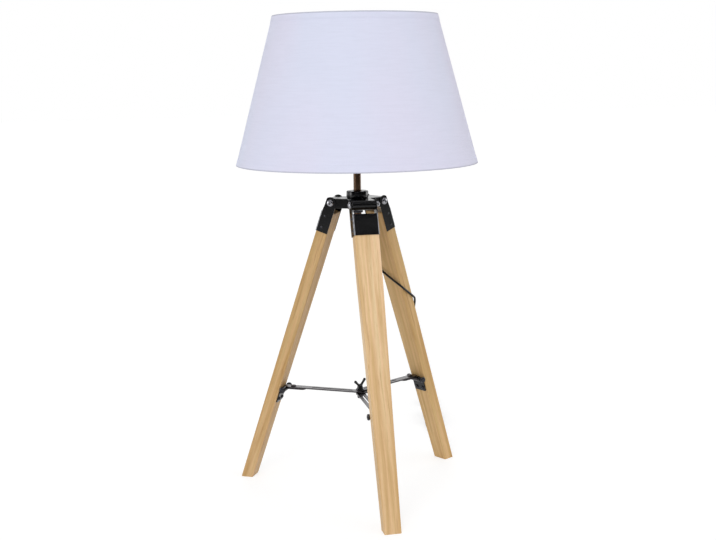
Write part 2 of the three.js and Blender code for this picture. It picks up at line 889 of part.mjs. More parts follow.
function bulbGlass() {
  const bottom = bulbBottom + bulbCapHeight + seatGap;
  const centre = bulbBottom + bulbLength - bulbRadius;
  const startAngle = THREE.MathUtils.degToRad(bulbSpringDegrees);
  const meetRadius = bulbRadius * Math.cos(startAngle);
  const meetHeight = centre + bulbRadius * Math.sin(startAngle);
  const neckTop = bottom + bulbNeckHeight;
  const pull = (meetHeight - neckTop) * bulbPullShare;
  const shoulder = new THREE.CubicBezierCurve(
    new THREE.Vector2(bulbNeckRadius, neckTop),
    new THREE.Vector2(bulbNeckRadius, neckTop + pull),
    new THREE.Vector2(meetRadius + pull * Math.sin(startAngle), meetHeight - pull * Math.cos(startAngle)),
    new THREE.Vector2(meetRadius, meetHeight),
  ).getPoints(arcSteps - 1).map(({ x, y }) => [x, y]);
  const steps = arcSteps + 2;
  const globe = Array.from({ length: steps }, (unused, index) => {
    const angle = startAngle + ((Math.PI / 2 - startAngle) * (index + 1)) / steps;
    return [index === steps - 1 ? 0 : bulbRadius * Math.cos(angle), centre + bulbRadius * Math.sin(angle)];
  });
  return revolve([[0, bottom], [bulbNeckRadius, bottom], ...shoulder, ...globe], turnedSides);
}

// Shade ring: a gripped nut that clamps the fitter to the lampholder
function shadeRing() {
  const bottom = fitterHeight + fitterRingThickness + seatGap;
  const ring = tube(shadeRingRadius, holderRadius + seatGap, bottom, bottom + shadeRingHeight, turnedSides);
  const grips = 12;
  const notches = Array.from({ length: grips }, (unused, index) => {
    const tool = post(shadeRingGrip, bottom - overrun, bottom + shadeRingHeight + overrun, loopSides);
    return tool.translate(shadeRingRadius, 0, 0).rotateZ((index * 2 * Math.PI) / grips);
  });
  return cutBy(ring, ...notches);
}

// Mains cord

// Hand-chosen route from the bushing to the right leg, in the lamp's frame
const routeToLeg = [
  [0, 0, 395.8], [0.1, 0.2, 377], [1, 1.6, 368.5], [3.6, 5.9, 361.2], [8.6, 14.3, 355],
  [15.8, 26.2, 348.8], [23.4, 37.6, 342.2], [29.9, 45, 336.6], [36.7, 48.2, 331.1], [43.3, 45.6, 325.4],
  [54, 33.4, 315.6], [64, 22.4, 306.8],
];
// Round the near side of the right leg, down its back and over the floor to the hank
const routeOnLeg = [
  [64.4, 22, 306.4], [67.8, 19.2, 303.7], [71.4, 18.7, 300.7], [75, 20.4, 297.5], [83.8, 26, 290.2],
  [91.4, 30.6, 283.9], [94.8, 33.2, 280.2], [96.4, 37, 275], [97.1, 44, 262.5], [97.7, 50.6, 250.8],
  [99, 56, 240.4], [101.4, 58.8, 230.4], [106.5, 61.6, 213], [111.8, 64.6, 194.6], [127, 73.3, 142.6],
  [141, 81.4, 95.3], [153.4, 88.6, 53.4], [159.8, 92.4, 32.8], [163.8, 95, 20.6], [168, 99.2, 11],
  [172.2, 106.6, 4.6], [174.6, 118, 2], [175.2, 134, 1.7], [174.8, 158, 1.7], [173.3, 186, 1.7],
  [172.8, 206, 1.8], [173.7, 227, 2.1], [175.7, 246.5, 2.6], [179.37, 264.32, 2.7],
];

const hankTurn = THREE.MathUtils.degToRad(hankDegrees);
const hankBottom = tieThickness + seatGap + cordRadius;

// From the hank's own frame, X along its runs, to the lamp's frame
function fromHank(x, y, z) {
  const turned = new THREE.Vector3(x, y, z).applyAxisAngle(new THREE.Vector3(0, 0, 1), hankTurn);
  return turned.add(new THREE.Vector3(hankCentre[0], hankCentre[1], 0));
}

function atHank(geometry) {
  return geometry.rotateZ(hankTurn).translate(hankCentre[0], hankCentre[1], 0);
}

// Half width of the loop at each run: it spirals in, climbs, spirals out, and so on
function runHalfWidth(run) {
  const cycle = run % (2 * hankRunsPerLayer);
  const fromInner = Math.abs(hankRunsPerLayer - cycle);
  return hankInnerHalfWidth + (fromInner * hankStepAcross) / 2;
}

function hankPoints() {
  const runs = hankLayers * hankRunsPerLayer;
  const along = 8;
  const round = 8;
  const points = [];
  for (let run = 0; run <= runs; run += 1) {
    const side = run % 2 === 0 ? 1 : -1;
    const half = runHalfWidth(run);
    const climbs = run % hankRunsPerLayer === 0 && run > 0 && run < runs;
    const layer = run === 0 ? 0 : Math.ceil(run / hankRunsPerLayer) - 1;
    for (let step = 0; step <= along; step += 1) {
      const share = step / along;
      const x = side * hankRun * (share - 1 / 2);
      const pinch = hankPinch * Math.cos((Math.PI * x) / hankRun) ** 2;
      const rise = climbs ? (1 - Math.cos(Math.PI * share)) / 2 : 0;
      points.push(fromHank(x, side * (half - pinch), hankBottom + (layer + rise) * hankStepUp));
    }
    if (run === runs) break;
    const next = runHalfWidth(run + 1);
    const radius = (half + next) / 2;
    const middle = (side * (half - next)) / 2;
    const height = hankBottom + (layer + (climbs ? 1 : 0)) * hankStepUp;
    for (let step = 1; step < round; step += 1) {
      const angle = (Math.PI * step) / round;
      const x = side * (hankRun / 2 + radius * Math.sin(angle));
      points.push(fromHank(x, middle + side * radius * Math.cos(angle), height));
    }
  }
  const lead = 2 * cordRadius;
  const first = fromHank(-hankRun / 2 - lead, runHalfWidth(0), hankBottom);
  const top = hankBottom + (hankLayers - 1) * hankStepUp;
  const last = fromHank(hankRun / 2 + lead, runHalfWidth(runs), top);
  return [first, ...points, last];
}

// The least gap between two stretches of a wound cord that aren't next to each other
function leastGap(points) {
  const apart = [0];
  for (let i = 1; i < points.length; i += 1) apart.push(apart[i - 1] + points[i].distanceTo(points[i - 1]));
  const fine = [];
  const curve = new THREE.CatmullRomCurve3(points);
  const total = apart[apart.length - 1];
  const count = Math.ceil(total / cordRadius);
  for (let i = 0; i <= count; i += 1) fine.push(curve.getPointAt(i / count));
  const skip = Math.ceil((skipDiameters * 2 * cordRadius) / (total / count));
  let least = Infinity;
  for (let i = 0; i < fine.length; i += 1) {
    for (let j = i + skip; j < fine.length; j += 1) least = Math.min(least, fine[i].distanceTo(fine[j]));
  }
  return least - 2 * cordRadius;
}

// One closed tube through a list of points, its section carried along without twist
function sweep(points, radius, sides) {
  const positions = [];
  const corners = [];
  let across = null;
  points.forEach((point, index) => {
    const before = points[Math.max(index - 1, 0)];
    const after = points[Math.min(index + 1, points.length - 1)];
    const ahead = after.clone().sub(before).normalize();
    if (!across) across = new THREE.Vector3(0, 0, 1).cross(ahead).normalize();
    across.sub(ahead.clone().multiplyScalar(across.dot(ahead))).normalize();
    const up = ahead.clone().cross(across);
    for (let side = 0; side < sides; side += 1) {
      const angle = ((side + 1 / 2) * 2 * Math.PI) / sides;
      const corner = point.clone();
      corner.addScaledVector(across, radius * Math.cos(angle));
      corner.addScaledVector(up, radius * Math.sin(angle));
      positions.push(corner.x, corner.y, corner.z);
    }
  });
  for (let ring = 0; ring + 1 < points.length; ring += 1) {
    for (let side = 0; side < sides; side += 1) {
      const next = (side + 1) % sides;
      const [a, b] = [ring * sides + side, ring * sides + next];
      const [c, d] = [a + sides, b + sides];
      corners.push(a, b, d, a, d, c);
    }
  }
  const end = (points.length - 1) * sides;
  for (let side = 1; side + 1 < sides; side += 1) {
    corners.push(0, side + 1, side);
    corners.push(end, end + side, end + side + 1);
  }
  const geometry = new THREE.BufferGeometry();
  geometry.setAttribute('position', new THREE.Float32BufferAttribute(positions, 3));
  geometry.setIndex(corners);
  return geometry;
}

// A plain cord along a smooth route, as a many-sided section drawn along it
function cordAlong(route, steps) {
  const curve = new THREE.CatmullRomCurve3(route.map((point) => new THREE.Vector3(...point)));
  const section = shapeOf(Array.from({ length: cordSides }, (unused, index) => {
    const angle = ((index + 1 / 2) * 2 * Math.PI) / cordSides;
    return [cordRadius * Math.cos(angle), cordRadius * Math.sin(angle)];
  }));
  return new THREE.ExtrudeGeometry(section, { extrudePath: curve, steps, bevelEnabled: false });
}

// Waist band of the hank, lying on the floor
function cordTie() {
  const halfWide = runHalfWidth(0) - hankPinch + cordRadius + seatGap + tieThickness;
  const top = hankBottom + (hankLayers - 1) * hankStepUp + cordRadius + seatGap + tieThickness;
  const outline = roundedBox(halfWide, top / 2, tieCornerRadius + tieThickness);
  const inside = [halfWide - tieThickness, top / 2 - tieThickness, tieCornerRadius, THREE.Path];
  outline.holes.push(roundedBox(...inside));
  const band = slabForward(outline, -tieWidth / 2, tieWidth / 2, { curveSegments: cornerSteps });
  return atHank(band.translate(0, 0, top / 2));
}

// Flat two-pin plug: X runs from its cord end to its pins

const plugStart = hankRun / 2 + plugFromHank;
const plugFace = plugStart + plugNeckLength + plugLength;

function placedPlug(geometry) {
  return atHank(geometry.translate(0, 0, plugThickness / 2));
}

function plugBody() {
  const bodyStart = plugStart + plugNeckLength;
  const bevel = {
    bevelEnabled: true,
    bevelSegments: 2,
    bevelSize: plugEdge,
    bevelThickness: plugEdge,
    bevelOffset: -plugEdge,
    curveSegments: cornerSteps,
  };
  const outline = roundedBox(plugWidth / 2, plugThickness / 2, plugCornerRadius);
  const body = slabForward(outline, bodyStart + plugEdge, plugFace - plugEdge, bevel);
  const neck = revolve([
    [0, plugStart],
    [plugNeckTipRadius, plugStart],
    [plugNeckRadius, bodyStart],
    [plugNeckRadius, bodyStart + plugEdge],
    [0, bodyStart + plugEdge],
  ], smallSides).rotateY(Math.PI / 2);
  return placedPlug(joined(body, neck));
}

function plugPin(side) {
  const start = plugFace + seatGap;
  const end = start + plugPinLength;
  const pin = revolve([
    [0, start],
    [plugPinRadius, start],
    [plugPinRadius, end - plugPinRadius * plugPinTipShare],
    [plugPinRadius * plugPinTipShare, end],
    [0, end],
  ], screwSides).rotateY(Math.PI / 2);
  return placedPlug(pin.translate(0, (side * plugPinSpacing) / 2, 0));
}

// Stretch from the top of the hank down to the plug's neck
function tailRoute() {
  const top = hankBottom + (hankLayers - 1) * hankStepUp;
  const offset = runHalfWidth(hankLayers * hankRunsPerLayer);
  const from = hankRun / 2 + 2 * cordRadius + seatGap;
  const to = plugStart - seatGap;
  const steps = 8;
  const route = [];
  for (let step = 0; step <= steps; step += 1) {
    const share = step / steps;
    const eased = (1 - Math.cos(Math.PI * share)) / 2;
    const height = top + (plugThickness / 2 - top) * eased;
    const point = fromHank(from + (to - from) * share, offset * (1 - eased), height);
    route.push([point.x, point.y, point.z]);
  }
  return route;
}

// Assembly

legs.forEach(({ name, azimuthDegrees, boltSide, barLayer }) => {
  const upright = new THREE.Group();
  upright.rotation.z = THREE.MathUtils.degToRad(azimuthDegrees);
  lamp.add(upright);
  const leaning = new THREE.Group();
  leaning.position.x = footReach;
  leaning.rotation.y = -lean;
  upright.add(leaning);
  const hinge = new THREE.Group();
  hinge.position.set(hingeRadius, 0, hingeHeight);
  upright.add(hinge);

  add(leaning, `leg_${name}`, woodenLeg(), finishes.wood);
  add(leaning, `sleeve_${name}`, sleeve(), finishes.blackMetal);
  add(hinge, `hinge_bolt_${name}`, hingeBolt(boltSide), finishes.blackMetal);
  add(hinge, `hinge_nut_${name}`, hingeNut(boltSide), finishes.blackMetal);
  add(leaning, `bracket_${name}`, bracket(), finishes.blackMetal);
  add(leaning, `bracket_pin_${name}`, bracketPin(), finishes.blackMetal);
  screwPlaces().forEach((place) => {
    const hand = place.side > 0 ? 'a' : 'b';
    add(leaning, `bracket_screw_${name}_${hand}`, bracketScrew(place), finishes.nickel);
  });
  add(upright, `strut_link_${name}`, strutLink(barLayer), finishes.darkSteel);
  add(upright, `strut_bar_${name}`, strutBar(barLayer), finishes.darkSteel);
});

add(lamp, 'spreader_bolt', spreaderBolt(), finishes.darkSteel);
add(lamp, 'spreader_washer_low', spreaderWasher(lowWasherBottom), finishes.darkSteel);
add(lamp, 'spreader_washer_top', spreaderWasher(stackTop + seatGap), finishes.darkSteel);
add(lamp, 'wing_nut', wingNut(), finishes.blackMetal);

add(lamp, 'tripod_head', tripodHead(), finishes.blackMetal);
add(lamp, 'head_collar', headCollar(), finishes.blackMetal);
add(lamp, 'lamp_rod', lampRod(), finishes.darkRod);
add(lamp, 'rod_washer', rodWasher(), finishes.nickel);
add(lamp, 'rod_locknut', rodLocknut(), finishes.nickel);
add(lamp, 'cord_bushing', cordBushing(), finishes.blackPlastic);

add(lamp, 'holder_cap', holderCap(), finishes.blackPlastic);
add(lamp, 'holder_shell', holderShell(), finishes.blackPlastic);
add(lamp, 'holder_insert', holderInsert(), finishes.whitePlastic);
add(lamp, 'centre_contact', centreContact(), finishes.brass);
add(lamp, 'switch_bar', switchBar(), finishes.whitePlastic);
add(lamp, 'shade_ring', shadeRing(), finishes.blackPlastic);
add(lamp, 'bulb_cap', bulbCap(), finishes.nickel);
add(lamp, 'bulb_glass', bulbGlass(), finishes.frostedGlass);

add(lamp, 'shade_cover', shadeCover(), finishes.fabric);
add(lamp, 'shade_top_wire', wireRing(shadeHeight - wireFromEdge), finishes.wire);
add(lamp, 'shade_bottom_wire', wireRing(wireFromEdge), finishes.wire);
add(lamp, 'shade_fitter', shadeFitter(), finishes.wire);

const hank = hankPoints();
console.log(`least gap of the hank to itself: ${leastGap(hank).toFixed(2)} mm`);
add(lamp, 'cord_to_leg', cordAlong(routeToLeg, 16), finishes.cord);
add(lamp, 'cord_on_leg', cordAlong(routeOnLeg, 58), finishes.cord);
add(lamp, 'cord_hank', sweep(hank, cordRadius, loopSides), finishes.cord);
add(lamp, 'cord_tail', cordAlong(tailRoute(), 6), finishes.cord);
add(lamp, 'cord_tie', cordTie(), finishes.blackPlastic);
add(lamp, 'plug_body', plugBody(), finishes.blackPlastic);
add(lamp, 'plug_pin_left', plugPin(1), finishes.nickel);
add(lamp, 'plug_pin_right', plugPin(-1), finishes.nickel);

export default lamp;
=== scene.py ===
# Looks of the tripod table lamp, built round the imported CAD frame.
# Metres, in the frame's own axes: +Z up, the front leg points along -Y.
import json
import math

import bmesh
import bpy
from mathutils import Matrix, Vector


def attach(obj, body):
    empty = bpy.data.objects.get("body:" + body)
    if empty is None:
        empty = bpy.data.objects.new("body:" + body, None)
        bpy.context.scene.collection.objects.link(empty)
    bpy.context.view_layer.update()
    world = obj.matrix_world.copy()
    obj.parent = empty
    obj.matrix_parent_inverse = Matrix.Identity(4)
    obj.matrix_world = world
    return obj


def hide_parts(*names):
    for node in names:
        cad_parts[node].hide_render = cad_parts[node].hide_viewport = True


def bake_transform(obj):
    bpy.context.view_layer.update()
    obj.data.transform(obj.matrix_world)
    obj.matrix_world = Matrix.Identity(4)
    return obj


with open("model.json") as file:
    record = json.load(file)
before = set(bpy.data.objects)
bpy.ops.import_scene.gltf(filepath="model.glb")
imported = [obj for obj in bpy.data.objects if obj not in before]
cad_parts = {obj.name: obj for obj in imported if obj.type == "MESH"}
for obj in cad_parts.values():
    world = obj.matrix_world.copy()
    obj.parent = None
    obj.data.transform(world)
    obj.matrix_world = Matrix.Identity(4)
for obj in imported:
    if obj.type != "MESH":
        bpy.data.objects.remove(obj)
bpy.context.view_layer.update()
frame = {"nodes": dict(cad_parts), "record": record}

# Camera: where it stands and how it is turned, in degrees
CAMERA_PLACE = (-0.35949, -1.58911, 0.62086)
CAMERA_PAN = -12.654
CAMERA_DROP = 9.946
CAMERA_ROLL = -0.812
CAMERA_LENS = 56.6

# Tripod: the lamp's axis and its legs, as in the frame
AXIS_Y = 0.009092177
FOOT_REACH = 0.193184
LEAN = math.radians(18.84)
HINGE_ALONG = 0.4619
LEG_AZIMUTHS = {"front": -90, "right": 30, "left": 150}
LEG_THICKNESS = 0.0176
LEG_HALF_WIDTH = 0.0176
LEG_ROUNDING = 0.0006

# Gaps, edges and limits that many pieces share
SEAT_GAP = 0.0003
TURN_GAP = 0.0003
WELD = 1e-6
EASE_LIMIT_SHARE = 0.4
SHARP_ANGLE = 30
REFINED_SHARP_ANGLE = 50
FLAT_ANGLE = 0.5
PLATE_EDGE = 0.0003
WASHER_EDGE = 0.0003
HEX_CHAMFER = 0.0003

# Cast head, the hinges through its arms and the collar on it
HINGE_RADIUS = 0.0357
HINGE_HEIGHT = 0.4343
BOLT_SIDES = {"front": -1, "right": -1, "left": 1}
HEAD_TOP = 0.4407
HEAD_BOTTOM = 0.4265
HEAD_EDGE = 0.0004
HINGE_BOLT_RADIUS = 0.0025
HINGE_HEAD_RADIUS = 0.0053
HINGE_HEAD_HEIGHT = 0.003
HINGE_SOCKET_RADIUS = 0.0017
HINGE_SOCKET_DEPTH = 0.0014
HINGE_SOCKET_RIM = 0.0001
HINGE_NUT_FLAT = 0.004
HINGE_NUT_HEIGHT = 0.0036
HINGE_NUT_DOME = 0.0018
COLLAR_RADIUS = 0.016
COLLAR_HEIGHT = 0.0104
COLLAR_EDGE = 0.0014

# Hollow rod, what holds it under the head, and the cord's bushing
ROD_RADIUS = 0.0055
ROD_BORE = 0.0036
ROD_BOTTOM = 0.4174
ROD_EDGE = 0.0004
ROD_WASHER_RADIUS = 0.0082
ROD_WASHER_THICKNESS = 0.0015
ROD_NUT_FLAT = 0.007
ROD_NUT_HEIGHT = 0.005
ROD_NUT_CHAMFER = 0.0004
BUSHING_LENGTH = 0.021
BUSHING_FLANGE_RADIUS = 0.0065
BUSHING_FLANGE_HEIGHT = 0.002
BUSHING_NECK_RADIUS = 0.0044
BUSHING_TIP_RADIUS = 0.0029
BUSHING_SPIGOT = 0.006
BUSHING_EDGE = 0.0002
BUSHING_GROOVES = 7
BUSHING_GROOVE_DEPTH = 0.0004
BUSHING_GROOVE_WIDTH = 0.0013
BUSHING_GROOVE_SLOPE = 0.0003

# Bracket on the inner face of a leg, its pin and its screws
PIN_ALONG = 0.161
PIN_OFF = -0.02265
PIN_RADIUS = 0.0015
PIN_BOSS_RADIUS = 0.0032
PIN_BOSS_HEIGHT = 0.0022
PIN_HEAD_RADIUS = 0.0046
PIN_HEAD_HEIGHT = 0.0034
PIN_HEAD_ROUNDING = 0.0012
PIN_HEAD_EASE = 0.0005
PIN_HEAD_CHAMFER = 0.0004
PIN_DIMPLE_DEPTH = 0.0006
BRACKET_WIDTH = 0.023
BRACKET_PLATE = 0.0196
BRACKET_THICKNESS = 0.0016
BRACKET_CORNER = 0.002
KNUCKLE_RADIUS = 0.004
KNUCKLE_EDGE = 0.0004
BRACKET_SCREW_SPREAD = 0.012
BRACKET_SCREW_DROP = 0.0178
BRACKET_SCREW_HEAD = 0.003
BRACKET_SCREW_RISE = 0.0016
BRACKET_SCREW_LENGTH = 0.012

# Spreader: slotted bars, their rivets, and the bolt, washers and wing nut in the middle
PIN_RADIAL = 0.119754
PIN_HEIGHT = 0.145055
BAR_LAYERS = {"front": -1, "right": 1, "left": 0}
BAR_STEP = 0.0021
BAR_WIDTH = 0.0126
BAR_THICKNESS = 0.0018
BAR_PAST_CENTRE = 0.008
SPREADER_ABOVE_PIN = 0.003
SLOT_WIDTH = 0.0026
SLOT_LENGTH = 0.077
LINK_THICKNESS = 0.0016
LINK_LENGTH = 0.027
RIVET_FROM_PIN = 0.013
RIVET_RADIUS = 0.0022
RIVET_HEAD_RADIUS = 0.0042
RIVET_HEAD_HEIGHT = 0.002
MIDDLE_BOLT_RADIUS = 0.0011
MIDDLE_HEAD_FLAT = 0.004
MIDDLE_HEAD_HEIGHT = 0.005
MIDDLE_HEAD_CHAMFER = 0.0005
MIDDLE_TIP_CHAMFER = 0.0003
MIDDLE_BOLT_PAST_NUT = 0.0015
MIDDLE_WASHER_RADIUS = 0.0062
MIDDLE_WASHER_THICKNESS = 0.0012
WING_HUB_RADIUS = 0.0048
WING_HUB_TOP_RADIUS = 0.0036
WING_HUB_HEIGHT = 0.0055
WING_HUB_EDGE = 0.0005
WING_REACH = 0.0086
WING_RISE = 0.0078
WING_ROOT_RISE = 0.0026
WING_TIP_RADIUS = 0.0022
WING_THICKNESS = 0.0026
WING_EDGE = 0.0008
WING_TURN = math.radians(36)

# Lampholder, shade fitter and bulb
HOLDER_BASE = 0.5
HOLDER_RADIUS = 0.0195
HOLDER_CAP_HEIGHT = 0.017
HOLDER_FOOT_RADIUS = 0.009
HOLDER_SHOULDER_RADIUS = 0.0155
HOLDER_SHOULDER_RISE = 0.0028
HOLDER_DOME_HEIGHT = 0.008
HOLDER_EDGE = 0.0012
ROD_IN_HOLDER = 0.008
SHELL_WALL = 0.0027
SHELL_HEIGHT = 0.041
SHELL_FLANGE_RADIUS = 0.0235
SHELL_FLANGE_HEIGHT = 0.003
SHELL_EDGE = 0.0007
INSERT_HEIGHT = 0.037
INSERT_FLOOR = 0.0125
INSERT_EDGE = 0.0005
SOCKET_RADIUS = 0.0139
CONTACT_RADIUS = 0.004
CONTACT_HEIGHT = 0.0018
RING_RADIUS = 0.025
RING_HEIGHT = 0.0055
RING_GRIPS = 24
RING_GRIP_DEPTH = 0.0009
RING_GRIP_REACH = 0.001
RING_EDGE = 0.0008
SWITCH_RADIUS = 0.002
SWITCH_HEIGHT = 0.0126
SWITCH_STUB = 0.005
SWITCH_TRAVEL = 0.006
SWITCH_EDGE = 0.0008
FITTER_THICKNESS = 0.002
CAP_RADIUS = 0.0133
CAP_HEIGHT = 0.025
CAP_TIP_RADIUS = 0.0045
CAP_TIP_HEIGHT = 0.002
CAP_SHOULDER = 0.005
CAP_THREADS = 5
CAP_THREAD_FROM_SHOULDER = 0.002
CAP_ABOVE_THREAD = 0.005
CAP_THREAD_DEPTH = 0.0008
BULB_RADIUS = 0.03
BULB_LENGTH = 0.11
BULB_NECK_RADIUS = 0.0128
BULB_NECK_HEIGHT = 0.006
BULB_SPRING = math.radians(-36)
BULB_PULL_SHARE = 0.45

# Sheet metal sleeve on the top of a leg
SLEEVE_WALL = 0.001
SLEEVE_BEND = 0.0021
SLEEVE_DROP = 0.0457
SLEEVE_PLATE_DROP = 0.015
# Band of the painted highlight along a sleeve's bends: where it starts and where it is full, in from the
# corner
BEND_HIGHLIGHT_FROM = 0.0012
BEND_HIGHLIGHT_FULL = 0.0007
SLEEVE_SHOULDER_DROP = 0.007
SLEEVE_EAR = 0.0087
SLEEVE_EAR_STEP = 0.0001
SLEEVE_EDGE = 0.0002
SLEEVE_SCREW_INSET = -0.0074
SLEEVE_SCREW_DROPS = (0.0207, 0.0382)
SLEEVE_SCREW_RADIUS = 0.0019
SLEEVE_SCREW_RISE = 0.0007
SLEEVE_FACE = LEG_HALF_WIDTH + SEAT_GAP + SLEEVE_WALL

# Shade: a tapered drum
SHADE_BOTTOM = 0.4915
SHADE_HEIGHT = 0.21
SHADE_BOTTOM_RADIUS = 0.175
SHADE_TOP_RADIUS = 0.118
FABRIC_THICKNESS = 0.0005
LINER_THICKNESS = 0.0010
HEM_HEIGHT = 0.009
HEM_STANDS = 0.0004
SHADE_SIDES = 192
WIRE_RADIUS = 0.0016
WIRE_FROM_EDGE = 0.0024
# Width of the painted shade along the shade's rims
RIM_SHADE_WIDTH = 0.0022
SHADE_SEAM_INSET = 0.0006

# Mains cord: its hank, its tie and its plug
CORD_DIAMETER = 0.0032
CORD_SIDES = 16
CORD_STEP = 0.0018
HANK_CENTRE = (0.1995, 0.290)
HANK_TURN = math.radians(78)
HANK_RUN = 0.0515
HANK_INNER = 0.0088
HANK_STEP = 0.0037
HANK_PINCH = 0.0032
HANK_LAYERS = 4
RUNS_PER_LAYER = 3
TIE_THICKNESS = 0.0008
TIE_EDGE = 0.0002
PLUG_FROM_HANK = 0.032
PLUG_THICKNESS = 0.014

# Route of the cord from the bushing to the right leg, then round the leg,
# down its back and over the floor to the hank, in metres from the lamp's axis
CORD_ROUTE = [
    (0, 0, 0.3958), (0.0001, 0.0002, 0.377), (0.001, 0.0016, 0.3685), (0.0036, 0.0059, 0.3612),
    (0.0086, 0.0143, 0.355), (0.0158, 0.0262, 0.3488), (0.0234, 0.0376, 0.3422), (0.0299, 0.045, 0.3366),
    (0.0367, 0.0482, 0.3311), (0.0433, 0.0456, 0.3254), (0.054, 0.0334, 0.3156), (0.064, 0.0224, 0.3068),
    (0.0678, 0.0192, 0.3037), (0.0714, 0.0187, 0.3007), (0.075, 0.0204, 0.2975), (0.0838, 0.026, 0.2902),
    (0.0914, 0.0306, 0.2839), (0.0948, 0.0332, 0.2802), (0.0964, 0.037, 0.275), (0.0971, 0.044, 0.2625),
    (0.0977, 0.0506, 0.2508), (0.099, 0.056, 0.2404), (0.1014, 0.0588, 0.2304), (0.1065, 0.0616, 0.213),
    (0.1118, 0.0646, 0.1946), (0.127, 0.0733, 0.1426), (0.141, 0.0814, 0.0953), (0.1534, 0.0886, 0.0534),
    (0.1598, 0.0924, 0.0328), (0.1638, 0.095, 0.0206), (0.168, 0.0992, 0.011), (0.1722, 0.1066, 0.0046),
    (0.1746, 0.118, 0.002), (0.1752, 0.134, 0.0017), (0.1748, 0.158, 0.0017), (0.1733, 0.186, 0.0017),
    (0.1728, 0.206, 0.0018), (0.1737, 0.227, 0.0021), (0.1757, 0.2465, 0.0026),
]

# Looks: tints of each leg's wood, low and high, and the heights they hold for: each leg's own tone, darker
# towards the top on the right and left legs, and on the front leg painted light that makes its top much
# lighter and cooler than its foot; then the weave
WOOD_TINTS_AND_PAINTED_LIGHT = {
    "front": ((1.03, 1.06, 1.03), (1.18, 1.26, 1.34)),
    "right": ((0.97, 0.97, 0.82), (0.9, 0.9, 0.75)),
    "left": ((0.87, 0.86, 0.77), (0.79, 0.77, 0.61)),
}
TINT_AND_LIGHT_HEIGHTS = (0.05, 0.42)
THREAD_PITCH = 0.0011

# Floor, sky, lamps and cards
FLOOR_SIZE = 30
FLOOR_GLOW = 0.70
FLOOR_SEEN = 0.42
FLOOR_LIT = 0.85
SKY_LEVEL = 0.49
SUNS = [
    ("key", (-0.5, -0.9, 0.42), 1.15, 30),
    ("fill", (1.3, -0.8, 0.7), 0.48, 50),
    ("back", (0.3, 1.4, 1.0), 0.45, 40),
]
STRIPS = [
    ("strip_left", (-1.45, -0.05, 0.55), 1.6),
    ("strip_right", (1.4, 0.3, 0.55), 1.2),
]
STRIP_SIZE = (0.22, 1.5)
CARD_RADIUS = 3.4
CARD_HEIGHT = 2.3
CARDS = [
    ("dark_card", -166, 2, 0.025),
    ("bright_card_left", -190, -167, 4.5),
    ("bright_card_right", 4, 24, 4.5),
]
CARD_STEPS = 24


# What the frame says of its nodes

slots = {part["node"]: part["material_slot"] for part in frame["record"]["subparts"]}
bodies = {node: body for body, nodes in frame["record"]["behaviour"]["bodies"].items() for node in nodes}


# Meshes

def tidy(mesh, sharp):
    """Joins what touches, turns the faces outwards and smooths all but the sharp edges."""
    work = bmesh.new()
    work.from_mesh(mesh)
    bmesh.ops.remove_doubles(work, verts=work.verts, dist=WELD)
    bmesh.ops.recalc_face_normals(work, faces=work.faces)
    work.to_mesh(mesh)
    work.free()
    mesh.shade_smooth()
    mesh.set_sharp_from_angle(angle=math.radians(sharp))


def linked(name, data):
    made = bpy.data.objects.new(name, data)
    bpy.context.scene.collection.objects.link(made)
    return made


def piece(name, vertices, faces):
    """A mesh object in the frame's own axes, smooth but for its sharp edges."""
    mesh = bpy.data.meshes.new(name)
    mesh.from_pydata([tuple(v) for v in vertices], [], faces)
    mesh.validate()
    tidy(mesh, SHARP_ANGLE)
    return linked(name, mesh)


def placed(made, node):
    """Gives a piece the body of a node."""
    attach(made, bodies[node])


def dress(made, material):
    made.data.materials.clear()
    made.data.materials.append(material)


def rounded(made, width, least):
    """Rounds the edges that bend by more than an angle in degrees."""
    bevel = made.modifiers.new("edges", "BEVEL")
    bevel.width = width
    bevel.segments = 2
    bevel.limit_method = "ANGLE"
    bevel.angle_limit = math.radians(least)


def evened(made):
    """Keeps flat faces flat beside the rounded edges."""
    made.modifiers.new("even", "WEIGHTED_NORMAL").keep_sharp = True


def polygon_share(angle, corners):
    """How far a regular polygon's side lies out at an angle, by its half width."""
    wedge = 2 * math.pi / corners
    return 1 / math.cos((angle + wedge / 2) % wedge - wedge / 2)


def turned(outline, sides, ring=False):
    """Vertices and faces of an outline turned about +Z.

    Each point of it is (radius, height), or (half width, height, corners) where it is
    a regular polygon instead of a circle.
    """
    vertices, rows = [], []
    for radius, height, *corners in outline:
        if radius == 0:
            rows.append([len(vertices)] * sides)
            vertices.append(Vector((0, 0, height)))
            continue
        rows.append(list(range(len(vertices), len(vertices) + sides)))
        for side in range(sides):
            angle = 2 * math.pi * side / sides
            reach = radius * polygon_share(angle, corners[0]) if corners else radius
            vertices.append(Vector((reach * math.cos(angle), reach * math.sin(angle), height)))
    faces = []
    count = len(rows)
    for row in range(count if ring else count - 1):
        low, high = rows[row], rows[(row + 1) % count]
        for side in range(sides):
            after = (side + 1) % sides
            corners = [low[side], low[after], high[after], high[side]]
            distinct = tuple(dict.fromkeys(corners))
            if len(distinct) > 2:
                faces.append(distinct)
    return vertices, faces


def eased(outline, cut, ring=False):
    """An outline with each of its corners rounded over about one length."""
    points = [Vector(p) for p in outline]
    count = len(points)
    made = []
    for index, point in enumerate(points):
        if not ring and index in (0, count - 1):
            made.append(point)
            continue
        before, after = points[index - 1], points[(index + 1) % count]
        back = min(cut, (before - point).length * EASE_LIMIT_SHARE)
        ahead = min(cut, (after - point).length * EASE_LIMIT_SHARE)
        start = point + (before - point).normalized() * back
        end = point + (after - point).normalized() * ahead
        made += [start, (start + end + 2 * point) / 4, end]
    return [tuple(p) for p in made]


def at(x, y, z):
    return Matrix.Translation((x, y, z))


def spun(degrees, axis):
    return Matrix.Rotation(math.radians(degrees), 4, axis)


